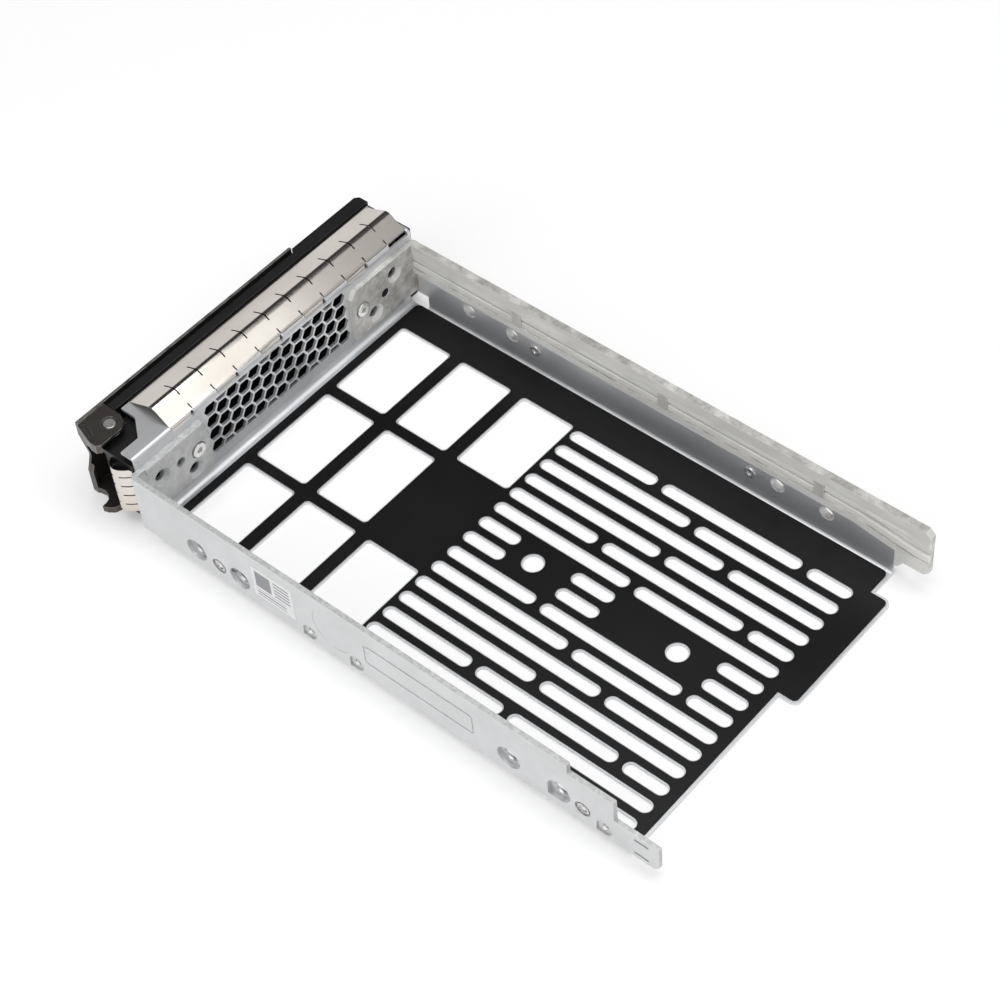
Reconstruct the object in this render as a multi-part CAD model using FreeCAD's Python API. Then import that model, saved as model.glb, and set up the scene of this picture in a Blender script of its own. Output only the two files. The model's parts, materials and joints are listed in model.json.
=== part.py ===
"""Hot swap drive caddy: sheet steel tray, two cast rails, bezel and swing lever.

Units are millimetres, +Z is up and -Y is the front of the caddy.
X = 0 is the middle of the drive bay, Z = 0 is the underside of the tray and
Y = 0 is the front end of the slotted part of the floor.
"""
import FreeCAD, Part
import math
import os

from FreeCAD import Vector

os.makedirs("parts", exist_ok=True)

# ---------------------------------------------------------------- sheet and drive bay
sheet_t = 0.8                 # steel sheet of the tray
film_t = 0.2                  # insulating film on the floor
drive_width = 101.6           # 3.5 inch drive
drive_side_gap = 0.05         # room left at each side of the drive
bay_half = drive_width / 2 + drive_side_gap
side_bend_r = 0.8             # inner radius of the side folds
flange_height = 11.2          # top of the side flanges
flange_out = bay_half + sheet_t
film_top_z = sheet_t + film_t
film_half = bay_half - side_bend_r
through = 1.0                 # how far each cutter runs past what it cuts
overlap = 0.1                 # bite of two shapes that become one

# ---------------------------------------------------------------- tray, front to rear
wall_y = -66.6                # rear face of the perforated front wall
wall_bend_r = 2.2             # inner radius of the fold from floor to wall
wall_top_z = 25.0             # upper face of the top flange
wall_top_r = 1.2              # outer radius of the fold at the top
wall_left_lap = 1.3           # the wall runs past the left flange
wall_right_gap = 0.75         # and stops short of the right one
hood_depth = 15.4             # how far the top flange reaches forward
flange_front_gap = 6.3        # side flanges start this far behind the wall
tray_rear_y = 91.5            # rear edge of the floor
flange_slope_length = 12.5    # the flange tops fall along this length
flange_rear_drop = 2.0        # how far they fall by the rear edge
tab_side_gap = 7.7            # connector tab, from the left bay side
tab_width = 39.2
tab_reach = 5.15              # connector tab behind the rear edge
tab_corner_r = 2.0
film_margin = 0.7             # bare steel rim round the film
film_corner_r = 1.5
film_front_gap = 0.6          # film starts this far behind the fold

wall_x_min = -flange_out - wall_left_lap
wall_x_max = bay_half - wall_right_gap
wall_front_y = wall_y - sheet_t
hood_front_y = wall_y - hood_depth
hood_under_z = wall_top_z - sheet_t
flange_front_y = wall_y + flange_front_gap
flange_slope_y = tray_rear_y - flange_slope_length

# ---------------------------------------------------------------- floor pattern
col_count = 15                # columns of slots
row_count = 6                 # slot rows
slots_left_gap = 12.25        # first column's axis, from the left bay side
slots_right_gap = 4.89        # last column's axis, from the right bay side
slots_rear_gap = 3.94         # floor behind the last slots
slot_end_gap = 2.8            # web between two slots in line
slot_width = 3.3
windows_left_gap = 10.15      # big windows, from the left bay side
windows_right_gap = 4.05
windows_front_gap = 5.65      # and from the front wall
windows_rear_gap = 1.45       # web between the windows and the slots
window_bar_x = 3.7            # web between two windows, across X
window_bar_y = 4.4            # and across Y
window_r = 1.3
film_relief = 0.35            # film stands back from each opening
floor_hole_d = 5.4
floor_hole_column = 6.5       # between the two middle columns
floor_hole_rows = (1.3, 4.31)

first_col_x = -bay_half + slots_left_gap
col_pitch = (2 * bay_half - slots_left_gap - slots_right_gap) / (col_count - 1)
row_pitch = (tray_rear_y - slots_rear_gap + slot_end_gap) / row_count
window_length = (2 * bay_half - windows_left_gap - windows_right_gap - 2 * window_bar_x) / 3
window_width = (-windows_rear_gap - wall_y - windows_front_gap - 2 * window_bar_y) / 3
window_pitch_x = window_length + window_bar_x
window_pitch_y = window_width + window_bar_y
window_first_x = -bay_half + windows_left_gap + window_length / 2
window_first_y = wall_y + windows_front_gap + window_width / 2
floor_hole_x = first_col_x + floor_hole_column * col_pitch

# ---------------------------------------------------------------- drive screw holes
drive_hole_z = 8.7            # drive screws above the underside
drive_hole_setback = 21.4     # front screw behind the front wall
drive_hole_spacing = 101.6    # front to rear screw of a 3.5 inch drive
position_shift = 15.0         # second drive position behind the first
flange_hole_d = 4.4
rail_hole_d = 6.8
left_rail_hole_d = 4.8

drive_hole_first_y = wall_y + drive_hole_setback
drive_hole_last_y = drive_hole_first_y + drive_hole_spacing + position_shift
drive_hole_ys = (
    drive_hole_first_y,
    drive_hole_first_y + position_shift,
    drive_hole_last_y - position_shift,
    drive_hole_last_y,
)

# ---------------------------------------------------------------- rails
rail_wall = 1.2               # right rail, beside the flange
rail_upper_wall = 1.4         # right rail, above the flange
left_rail_wall = 1.6
left_rail_upper_wall = 2.2
rail_bottom_z = 2.8
rail_height = 18.7
rail_seam = 0.05              # play between a rail's ledge and the flange top
rail_rear_reach = 8.8         # right rail behind the floor
left_rail_rear_reach = 9.5
rail_rear_chamfer = 1.6
left_rail_chamfer = 1.5
step_one_setback = 17.2       # first step of the right rail, before the floor's rear edge
step_one_drop = 3.1
step_two_setback = 3.9
step_two_rise = 0.45          # second step, above the flange top
tongue_rise = 2.4             # underside of the left rail's tongue, above the rail's
tongue_start = 0.6            # slope up to the tongue, behind the floor
tongue_slope = 1.6
tongue_seam = 0.2
pipe_inset = 0.5              # light pipes stand this far outside the bay side

rail_top_z = rail_bottom_z + rail_height
right_face = flange_out + rail_wall
left_face = -(flange_out + left_rail_wall)
rail_rear_y = tray_rear_y + rail_rear_reach
left_rail_rear_y = tray_rear_y + left_rail_rear_reach
step_one_y = tray_rear_y - step_one_setback
step_one_z = rail_top_z - step_one_drop
step_two_y = tray_rear_y - step_two_setback
step_two_z = flange_height + step_two_rise
left_tongue_z = rail_bottom_z + tongue_rise

# ---------------------------------------------------------------- rail ears
ear_t = 1.5                   # rail ears behind the front wall
ear_lift = 1.5                # ears start above the rail's underside
ear_top_gap = 0.1             # and end below its top
ear_right_width = 26.0        # ears, from the rail's outer face
ear_left_width = 25.75
ear_lean = 1.8                # chamfer of the upper inner corner
ear_lean_drop = 2.4
ear_corner_r = 1.4
ear_hole_d = 3.2
ear_sink_d = 5.4
ear_sink_depth = 1.0
pilot_d = 2.9
pilot_play = 0.3              # how far the bezel's peg stays behind the ear's face
rib_inset = 2.0               # stiffening rib on the right ear
rib_end_gap = 2.15
rib_height = 1.8
rib_depth = 0.6
star_head_d = 4.2
star_head_t = 1.1
star_recess_d = 4.9
star_recess_depth = 0.7
star_shank_d = 2.4
star_points_r = (1.15, 0.8)
star_floor = 0.5              # metal under the star socket

# ear fixings: distance from the bay side, height
ear_right_holes = ((6.9, 14.3), (17.7, 7.5))
ear_left_holes = ((6.9, 16.4), (15.3, 8.4))
pilot_right = (13.5, 13.9)
pilot_left = (11.0, 12.5)
star_right = (19.7, 13.2)
star_left = (19.8, 13.4)

ear_back_y = wall_y + ear_t
ear_bottom_z = rail_bottom_z + ear_lift
ear_top_z = rail_top_z - ear_top_gap
ear_right_x = right_face - ear_right_width
ear_left_x = left_face + ear_left_width

# ---------------------------------------------------------------- honeycomb of the wall
hex_flat = 4.0                # cell across its flats
hex_web = 0.62                # metal between two cells
hex_rows = 4
hex_first_z = 7.35            # centre of the lowest whole cell
grille_side_gap = 1.0         # metal between the cells and the ears
grille_z_min = 5.6            # cells are cut off level here
grille_top_gap = 2.2          # and this far below the top

hex_pitch = hex_flat + hex_web
hex_step_x = hex_pitch * math.cos(math.radians(30))
hex_columns = int((ear_right_x - ear_left_x - 2 * grille_side_gap) / hex_step_x)
hex_centre_x = (ear_right_x + ear_left_x) / 2
grille_z_max = wall_top_z - grille_top_gap

# ---------------------------------------------------------------- rivets, studs, marks
rivet_head_d = 3.6
rivet_head_t = 0.4
rivet_shank_d = 2.4
rivet_recess_d = 4.6
rivet_recess_depth = 0.6
right_rivet_gaps = (7.8, 7.0)  # from the first and the last drive hole
right_rivet_zs = (8.2, 8.0)
left_rivet_gaps = (8.0, 8.4)   # from the two inner drive holes
left_rivet_z = 7.9
lug_ys = (-7.0, 8.5)
lug_rear_gap = 6.9            # last pocket, before the floor's rear edge
lug_zs = (5.6, 5.6, 5.9)
lug_pocket_r = 2.3
lug_pocket_depth = 0.72
lug_stud_r = 0.9
frame_y_min = 11.7            # blank sunk frame on the right rail
frame_length = 34.5
frame_z_min = 8.8
frame_height = 7.2
frame_line = 0.6
frame_corner_r = 1.3
frame_depth = 0.25
mark_y = 1.8                  # shallow round mark of the casting
mark_z = 13.0
mark_r = 6.9
mark_depth = 0.15
rear_slot_rear_gap = 3.0      # two slits near the right rail's end
rear_slot_length = 4.1
rear_slot_height = 0.7
rear_slot_zs = (4.5, 9.6)
label_y_min = -25.0
label_length = 13.7
label_z_min = 7.0
label_height = 11.0
label_t = 0.1

right_rivets = (
    (drive_hole_first_y + right_rivet_gaps[0], right_rivet_zs[0]),
    (drive_hole_last_y + right_rivet_gaps[1], right_rivet_zs[1]),
)
left_rivets = (
    (drive_hole_ys[1] + left_rivet_gaps[0], left_rivet_z),
    (drive_hole_ys[2] - left_rivet_gaps[1], left_rivet_z),
)
lug_places = (
    (lug_ys[0], lug_zs[0]),
    (lug_ys[1], lug_zs[1]),
    (tray_rear_y - lug_rear_gap, lug_zs[2]),
)

# ---------------------------------------------------------------- light pipes
pipe_rise = 1.8               # lower light pipe above the flange top
pipe_height = 2.3
pipe_gap = 0.5                # between the two pipes
pipe_t = 1.0
pipe_drop = 2.45              # fall of the lower pipe behind the flange
pipe_drop_reach = 4.5         # where the fall ends, behind the floor
pipe_front_reach = 12.0       # both pipes before the wall's rear face
pipe_play = 0.2               # room round each pipe in the front wall
clip_ys = (-28.5, 20.0, 68.5)
clip_length = 3.2
clip_t = 0.3

pipe_lower_z = flange_height + pipe_rise
pipe_upper_z = pipe_lower_z + pipe_height + pipe_gap
pipe_face_x = -bay_half - pipe_inset
pipe_back_x = pipe_face_x - pipe_t
pipe_front_y = wall_y - pipe_front_reach
pipe_drop_end_y = tray_rear_y + pipe_drop_reach
pipe_low_end_z = pipe_lower_z - pipe_drop

# ---------------------------------------------------------------- contact strips
strip_t = 0.2                 # spring steel
strip_segments = 11
strip_right_gap = 13.25       # top strip ends before the wall does
strip_slit = 0.4
strip_end_trim = 1.1          # bare corner left beside the first finger
strip_front_angle = 22.6      # slopes of the bowed fingers
strip_rear_angle = 34.3
strip_crest_r = 2.45
strip_foot = 0.1              # flat run before the front slope
strip_rear_foot = 0.9         # flatter run at the rear edge
strip_rear_foot_rise = 0.35
strip_rear_inset = 0.5        # rear edge of the strip, before the wall's rear face
strip_lip_side = 0.25         # front lips stand back from the slits
strip_lip_drops = (1.1, 0.3)
strip_hook_side = 0.6         # rear hooks stand back further
strip_hook_inset = 0.5
strip_hook_drop = 1.4
crest_slit_run = (5.0, 10.8)  # slits across the crest, from the front edge
rear_slit_run = (13.2, 16.0)  # slits across the rear edge
slot_side = 0.15              # slots of the fold, short of the slits
slot_first_trim = 0.8
slot_depth = 2.4
slot_drop = 1.5
notch_length = 10.45          # notch of the top flange over the lever's pivot
notch_bevel = 6.0
notch_reach = 5.1
notch_back_gap = 4.7

side_strip_bottom_z = 5.2
side_strip_height = 15.6
side_finger_pitch = 3.4
side_fingers = 5
side_strip_lap = 0.5          # side strip stands outside the wall's end
side_hook_t = 0.25
side_hook_height = 2.72
# side strip: distance from its seat, distance before the wall
side_strip_profile = (
    (0.2, 1.1),
    (0.35, 2.0),
    (1.0, 2.65),
    (1.6, 3.4),
    (2.08, 4.15),
    (2.35, 4.8),
    (2.5, 5.8),
    (2.42, 6.45),
    (2.2, 7.0),
    (1.4, 8.1),
    (0.2, 8.8),
)
side_slit_runs = ((6.0, 9.9, -1.0), (1.4, 4.4, 0.25))

strip_x_min = wall_x_min
strip_x_max = wall_x_max - strip_right_gap
segment_length = (strip_x_max - strip_x_min) / strip_segments
strip_seat_z = wall_top_z + strip_t
side_strip_root_x = wall_x_max + side_strip_lap
side_strip_top_z = side_strip_bottom_z + side_strip_height

# ---------------------------------------------------------------- bezel
bezel_left_lap = 0.65         # bezel outside the left rail
bezel_right_gap = 9.0         # bezel ends before the wall does
bezel_front_reach = 3.4       # bezel before the hood
bezel_bottom_z = 0.2
bezel_top_rise = 0.5
bezel_bar_depth = 3.1
bezel_wall = 1.6
bezel_play = 0.25             # room between the bezel's bars and the strip
top_bar_height = 2.4
bottom_bar_height = 2.6
left_wall_t = 0.9
left_rib_t = 3.0
block_width = 25.7            # thick latch block at the left
block_step = 1.2
block_bite = 0.5
shelf_drop = 2.7              # shelf over the side strip, below the top
shelf_t = 1.5
inner_wall_gap = 3.1          # wall inside the pivot bay, from the bezel's end
inner_wall_t = 1.6
side_wall_t = 1.4
side_wall_reach = 8.7
pivot_floor_z = 3.0
pivot_floor_t = 1.4
web_half = 1.0                # half thickness of the pivot webs
neck_reach = 4.3
floor_reach = 3.3
shelf_reach = 1.3
corner_cut = 1.2
vent_pitch = 7.2
vent_width = 5.0
vent_first = 2.5
vent_end_gap = 8.0
vent_z_min = 5.0
vent_z_max = 20.5
button_seat_reach = 8.9       # wall that the button spring rests on
button_seat_t = 1.2
peg_rib_rise = 1.5

bezel_x_min = left_face - bezel_left_lap
bezel_x_max = wall_x_max - bezel_right_gap
bezel_front_y = hood_front_y - bezel_front_reach
bezel_top_z = wall_top_z + bezel_top_rise
bezel_block_x = bezel_x_min + block_width
block_front_y = bezel_front_y - block_step
shelf_top_z = wall_top_z - shelf_drop
button_seat_y = bezel_front_y + button_seat_reach
panel_back_y = bezel_front_y + bezel_wall

# ---------------------------------------------------------------- lever and pivot
pivot_end_gap = 4.85          # pivot axis, from the wall's end
pivot_reach = 13.7            # and before the wall
pin_d = 3.2
pin_clearance = 0.05          # running fit, on the radius
pin_end_drop = 0.1
boss_r = 3.0
ear_plate_t = 0.8
ear_plate_rise = 0.6          # upper ear above the tray's top
claw_t = 2.0
lever_plate_t = 0.8
lever_front_reach = 1.8       # front plate before the bezel
lever_block_play = 0.3
lever_end_reach = 5.35        # lever beyond the pivot
lever_return = 2.0            # depth of the folded end of the front plate
lever_z_min = 4.4
lever_rise = 1.0              # top of the front plate, above the tray's
plate_bite = 0.4
end_wall_play = 0.3
ear_seat_r = 2.15             # shallow seat round the pin in the upper ear
ear_seat_depth = 0.4
ear_slot_depth = 0.5
lever_slot_pitch = 7.2
lever_slot_width = 4.6
lever_slot_first = 4.5
lever_slot_end_gap = 13.6
lever_slot_z_min = 7.5
lever_slot_z_max = 21.5
end_wall_t = 1.2
# dip in the folded end: distance from the end, height
end_dip = ((-0.1, 22.0), (1.5, 13.4), (1.5, 12.2), (-0.1, 7.8))
# plan outlines about the pivot, from the front plate round to its end
ear_start = ((-3.75, 0.1), (-2.85, 2.1), (-0.65, 3.9))
ear_end = ((6.65, 3.9), (7.65, 2.7), (7.65, 0.9))
claw_end = (
    (5.95, 3.95),
    (7.35, 3.4),
    (8.45, 1.9),
    (8.85, 0.5),
    (7.35, 0.45),
    (6.15, 0.0),
    (5.25, -1.1),
    (4.75, -2.6),
    (4.95, -3.9),
)
end_wall_outline = ((6.45, 0.7), (6.45, 3.7), (7.65, 2.7))
ear_slot_outline = ((4.95, -5.3), (6.35, -0.3), (5.65, 0.1), (4.35, -2.7))

pivot_x = wall_x_max - pivot_end_gap
pivot_y = wall_y - pivot_reach
ear_plate_top_z = wall_top_z + ear_plate_rise
ear_plate_z = ear_plate_top_z - ear_plate_t
lever_x_min = bezel_block_x + lever_block_play
lever_x_max = pivot_x + lever_end_reach
lever_front_y = bezel_front_y - lever_front_reach
lever_back_y = lever_front_y + lever_plate_t
lever_z_max = wall_top_z + lever_rise
lever_spring_r = 2.35
lever_wire_r = 0.3
lever_spring_pitch = 0.7
lever_spring_turns = 2
spring_seat_play = 0.05
coil_steps = 16               # sections in one turn of a spring
wire_sides = 8

# ---------------------------------------------------------------- release button
button_left_gap = 6.9         # button, from the bezel's left end
button_width = 14.0
button_z_min = 6.0
button_height = 13.5
button_travel = 2.0
button_gap = 0.3
button_rim = 1.0              # rim that keeps the button behind the panel
button_corner_r = 1.5
button_stem_r = 1.2
button_wire_r = 0.25
button_spring_r = 2.2
button_spring_turns = 6

button_x_min = bezel_x_min + button_left_gap
button_x_max = button_x_min + button_width
button_z_max = button_z_min + button_height


# ---------------------------------------------------------------- small helpers
def box(x0, x1, y0, y1, z0, z1):
    """Block between two corners."""
    return Part.makeBox(x1 - x0, y1 - y0, z1 - z0, Vector(x0, y0, z0))


def cylinder(radius, start, end):
    """Round bar from start to end."""
    axis = Vector(*end) - Vector(*start)
    return Part.makeCylinder(radius, axis.Length, Vector(*start), axis)


def cone(radius_start, radius_end, start, end):
    """Tapered bar from start to end."""
    axis = Vector(*end) - Vector(*start)
    return Part.makeCone(radius_start, radius_end, axis.Length, Vector(*start), axis)


def prism(points, direction):
    """Straight extrusion of a closed outline."""
    corners = [Vector(*point) for point in points]
    wire = Part.makePolygon(corners + corners[:1])
    return Part.Face(wire).extrude(Vector(*direction))


def outline_xy(points, z0, z1):
    """Upright plate with the given plan outline."""
    return prism([(x, y, z0) for x, y in points], (0, 0, z1 - z0))


def outline_yz(points, x0, x1):
    """Plate across X with the given side outline."""
    return prism([(x0, y, z) for y, z in points], (x1 - x0, 0, 0))


def outline_xz(points, y0, y1):
    """Plate across Y with the given front outline."""
    return prism([(x, y0, z) for x, z in points], (0, y1 - y0, 0))


def fuse(first, *others):
    """One solid from touching solids."""
    return first.fuse(list(others)).removeSplitter()


def cut(body, tools):
    """Body less all tools."""
    return body.cut(Part.makeCompound(list(tools))).removeSplitter()


def edges_along(shape, axis):
    """Straight edges of a block that run along an axis."""
    found = []
    for edge in shape.Edges:
        run = edge.Vertexes[-1].Point - edge.Vertexes[0].Point
        if abs(run.dot(axis)) > 0.999 * run.Length:
            found.append(edge)
    return found


def round_corners(shape, picks, radius):
    """Fillet the upright edges at the given plan positions."""
    found = []
    for edge in edges_along(shape, Vector(0, 0, 1)):
        corner = edge.Vertexes[0].Point
        if any(math.hypot(corner.x - x, corner.y - y) < 1e-3 for x, y in picks):
            found.append(edge)
    return shape.makeFillet(radius, found)


def long_slot(x, y0, y1, width, z0, z1):
    """Slot with round ends, its length along Y."""
    radius = width / 2
    middle = box(x - radius, x + radius, y0 + radius, y1 - radius, z0, z1)
    ends = [cylinder(radius, (x, y, z0), (x, y, z1)) for y in (y0 + radius, y1 - radius)]
    return middle.fuse(ends)


def rounded_window(x, y, length, width, radius, z0, z1):
    """Rectangular opening with rounded corners about (x, y)."""
    x0, x1 = x - length / 2, x + length / 2
    y0, y1 = y - width / 2, y + width / 2
    block = box(x0, x1, y0, y1, z0, z1)
    return round_corners(block, [(x0, y0), (x1, y0), (x0, y1), (x1, y1)], radius)


def inset_curve(points, thickness):
    """Copy of an open curve, moved by thickness to its right hand."""
    moved = []
    last = len(points) - 1
    for i, point in enumerate(points):
        before, after = points[max(i - 1, 0)], points[min(i + 1, last)]
        du, dv = after[0] - before[0], after[1] - before[1]
        length = math.hypot(du, dv)
        moved.append((point[0] + dv / length * thickness, point[1] - du / length * thickness))
    return moved


def side_places(side, places):
    """Fixings given by their distance from the bay side, on one side of the bay."""
    return [(side * (bay_half - gap), z) for gap, z in places]


def save(name, shape):
    """Write one node."""
    if not shape.isValid():
        raise ValueError(name + " is not valid")
    shape.exportStep("parts/" + name + ".step")
    print(name, len(shape.Solids), round(shape.Volume, 2))


# ---------------------------------------------------------------- floor pattern
def slot_rows(column):
    """Start and end row of each slot in a column of the floor."""
    if column in (6, 7):
        return ((0, 1), (2, 3), (5, 6))
    family = column % 4
    if family == 0:
        return ((0, 2), (2, 5), (5, 6))
    if family == 2:
        return ((0, 4), (4, 6))
    return ((0, 3), (3, 6))


def floor_openings(relief, z0, z1):
    """Slots, windows and round holes of the floor, widened by relief."""
    tools = []
    for column in range(col_count):
        x = first_col_x + column * col_pitch
        for start, end in slot_rows(column):
            y0 = start * row_pitch - relief
            y1 = end * row_pitch - slot_end_gap + relief
            tools.append(long_slot(x, y0, y1, slot_width + 2 * relief, z0, z1))
    for i in range(3):
        for j in range(3):
            if i == 1 and j == 2:
                continue
            x = window_first_x + i * window_pitch_x
            y = window_first_y + j * window_pitch_y
            length = window_length + 2 * relief
            width = window_width + 2 * relief
            tools.append(rounded_window(x, y, length, width, window_r, z0, z1))
    for row in floor_hole_rows:
        y = row * row_pitch
        radius = floor_hole_d / 2 + relief
        tools.append(cylinder(radius, (floor_hole_x, y, z0), (floor_hole_x, y, z1)))
    return tools


# ---------------------------------------------------------------- tray
def tray_channel():
    """Floor with its two side flanges, folded from one sheet."""
    inner, outer = side_bend_r, side_bend_r + sheet_t
    edge = bay_half - inner
    rim = math.sqrt(0.5)
    centre_z = sheet_t + inner

    def arc(side, radius):
        return Part.Arc(
            Vector(side * edge, flange_front_y, centre_z - radius),
            Vector(side * (edge + radius * rim), flange_front_y, centre_z - radius * rim),
            Vector(side * (edge + radius), flange_front_y, centre_z),
        ).toShape()

    def line(x0, z0, x1, z1):
        start, end = Vector(x0, flange_front_y, z0), Vector(x1, flange_front_y, z1)
        return Part.LineSegment(start, end).toShape()

    top = flange_height
    edges = [line(-edge, 0, edge, 0), arc(1, outer), line(flange_out, centre_z, flange_out, top)]
    edges += [line(flange_out, top, bay_half, top), line(bay_half, top, bay_half, centre_z)]
    edges += [arc(1, inner), line(edge, sheet_t, -edge, sheet_t), arc(-1, inner)]
    edges += [line(-bay_half, centre_z, -bay_half, top), line(-bay_half, top, -flange_out, top)]
    edges += [line(-flange_out, top, -flange_out, centre_z), arc(-1, outer)]
    wire = Part.Wire(Part.__sortEdges__(edges))
    channel = Part.Face(wire).extrude(Vector(0, tray_rear_y - flange_front_y, 0))
    slope = [(flange_slope_y, flange_height), (tray_rear_y + through, flange_height - flange_rear_drop)]
    slope += [(tray_rear_y + through, flange_height + through), (flange_slope_y, flange_height + through)]
    return channel.cut(outline_yz(slope, -flange_out - through, flange_out + through))


def tray_hood():
    """Front of the floor, the upright wall and the top flange, one bent strip."""
    bend_y = wall_y + wall_bend_r
    outer = wall_bend_r + sheet_t
    rim = math.sqrt(0.5)
    low_z = sheet_t + wall_bend_r
    high_y = wall_y - wall_top_r
    high_z = wall_top_z - wall_top_r
    fold_in = wall_top_r - sheet_t

    def line(y0, z0, y1, z1):
        return Part.LineSegment(Vector(wall_x_min, y0, z0), Vector(wall_x_min, y1, z1)).toShape()

    def arc(y, z, radius, sign_y, sign_z):
        return Part.Arc(
            Vector(wall_x_min, y + sign_y * radius, z),
            Vector(wall_x_min, y + sign_y * radius * rim, z + sign_z * radius * rim),
            Vector(wall_x_min, y, z + sign_z * radius),
        ).toShape()

    edges = [line(flange_front_y, 0, bend_y, 0), arc(bend_y, low_z, outer, -1, -1)]
    edges += [line(wall_front_y, low_z, wall_front_y, high_z), arc(high_y, high_z, fold_in, 1, 1)]
    edges += [line(high_y, hood_under_z, hood_front_y, hood_under_z)]
    edges += [line(hood_front_y, hood_under_z, hood_front_y, wall_top_z)]
    edges += [line(hood_front_y, wall_top_z, high_y, wall_top_z), arc(high_y, high_z, wall_top_r, 1, 1)]
    edges += [line(wall_y, high_z, wall_y, low_z), arc(bend_y, low_z, wall_bend_r, -1, -1)]
    edges += [line(bend_y, sheet_t, flange_front_y, sheet_t)]
    edges += [line(flange_front_y, sheet_t, flange_front_y, 0)]
    wire = Part.Wire(Part.__sortEdges__(edges))
    hood = Part.Face(wire).extrude(Vector(wall_x_max - wall_x_min, 0, 0))
    corners = []
    for x0, x1 in ((wall_x_min - through, -film_half), (film_half, wall_x_max + through)):
        y0, y1 = wall_front_y - through, flange_front_y + through
        corners.append(box(x0, x1, y0, y1, -through, low_z + sheet_t))
    return cut(hood, corners)


def grille_cells():
    """Honeycomb of the front wall, cut off level at top and bottom."""
    radius = hex_flat / math.cos(math.radians(30)) / 2
    y0, y1 = wall_front_y - through, wall_y + through
    cells = []
    for column in range(hex_columns):
        x = hex_centre_x + (column - (hex_columns - 1) / 2) * hex_step_x
        shift = (column % 2) * hex_pitch / 2
        count = hex_rows + column % 2
        for row in range(count):
            z = hex_first_z - shift + row * hex_pitch
            corners = []
            for k in range(6):
                angle = math.radians(60 * k)
                corners.append((x + radius * math.cos(angle), z + radius * math.sin(angle)))
            cells.append(outline_xz(corners, y0, y1))
    window = box(wall_x_min, wall_x_max, y0 - through, y1 + through, grille_z_min, grille_z_max)
    return [cell.common(window) for cell in cells]


def strip_windows():
    """Slots in the top fold, under every second finger of the contact strip."""
    tools = []
    for segment in range(0, strip_segments, 2):
        x0 = strip_x_min + segment * segment_length + slot_side
        x1 = x0 + segment_length - 2 * slot_side
        if segment == 0:
            x0 += slot_first_trim
        y0, z0 = wall_y - slot_depth, wall_top_z - slot_drop
        tools.append(box(x0, x1, y0, wall_y + through, z0, wall_top_z + through))
    return tools


def hood_notch():
    """Room in the top flange for the swing of the lever's ear."""
    x0, x1, x2 = wall_x_max - notch_length, wall_x_max - notch_bevel, wall_x_max + through
    front, corner, back = hood_front_y - through, hood_front_y + notch_reach, wall_y - notch_back_gap
    points = [(x0, front), (x0, corner), (x1, back), (x2, back), (x2, front)]
    return outline_xy(points, hood_under_z - through, wall_top_z + through)


def connector_tab():
    """Tab of the floor behind its rear edge."""
    x0, y1 = -bay_half + tab_side_gap, tray_rear_y + tab_reach
    x1 = x0 + tab_width
    block = box(x0, x1, tray_rear_y - through, y1, 0, sheet_t)
    return round_corners(block, [(x0, y1), (x1, y1)], tab_corner_r)


def wall_fixings():
    """Holes of the front wall that the rail ears and the bezel use."""
    places = [(ear_hole_d, place) for place in side_places(1, ear_right_holes)]
    places += [(ear_hole_d, place) for place in side_places(-1, ear_left_holes)]
    for side, star, pilot in ((1, star_right, pilot_right), (-1, star_left, pilot_left)):
        star_place, pilot_place = side_places(side, [star, pilot])
        places += [(star_shank_d, star_place), (pilot_d, pilot_place)]
    y0, y1 = wall_front_y - through, wall_y + through
    return [cylinder(size / 2, (x, y0, z), (x, y1, z)) for size, (x, z) in places]


def pipe_ports(y0, y1, play):
    """Room for both light pipes through the ear and the front wall."""
    ports = []
    for z in (pipe_upper_z, pipe_lower_z):
        z1 = z + pipe_height + play
        ports.append(box(pipe_back_x - play, pipe_face_x + play, y0, y1, z - play, z1))
    return ports


def make_tray():
    """Tray: one folded and punched sheet."""
    body = fuse(tray_channel(), tray_hood(), connector_tab())
    tools = floor_openings(0.0, -through, sheet_t + through)
    tools += grille_cells()
    tools += strip_windows()
    tools += wall_fixings()
    tools += pipe_ports(wall_front_y - through, wall_y + through, pipe_play)
    tools.append(hood_notch())
    near, far = bay_half - through, flange_out + through
    for y in drive_hole_ys:
        for side in (-1, 1):
            start, end = (side * near, y, drive_hole_z), (side * far, y, drive_hole_z)
            tools.append(cylinder(flange_hole_d / 2, start, end))
    for places, side in ((right_rivets, 1), (left_rivets, -1)):
        for y, z in places:
            tools.append(cylinder(rivet_shank_d / 2, (side * near, y, z), (side * far, y, z)))
    return cut(body, tools)


def make_film():
    """Insulating film with the same openings a little wider."""
    rear = tray_rear_y - film_margin
    front = wall_y + wall_bend_r + film_front_gap
    sheet = box(-film_half, film_half, front, rear, sheet_t, film_top_z)
    corners = [(-film_half, front), (film_half, front), (-film_half, rear), (film_half, rear)]
    sheet = round_corners(sheet, corners, film_corner_r)
    x0 = -bay_half + tab_side_gap + film_margin
    x1 = x0 + tab_width - 2 * film_margin
    y1 = tray_rear_y + tab_reach - film_margin
    tab = box(x0, x1, rear - through, y1, sheet_t, film_top_z)
    tab = round_corners(tab, [(x0, y1), (x1, y1)], tab_corner_r - film_margin)
    return cut(fuse(sheet, tab), floor_openings(film_relief, 0, film_top_z + through))


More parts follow.
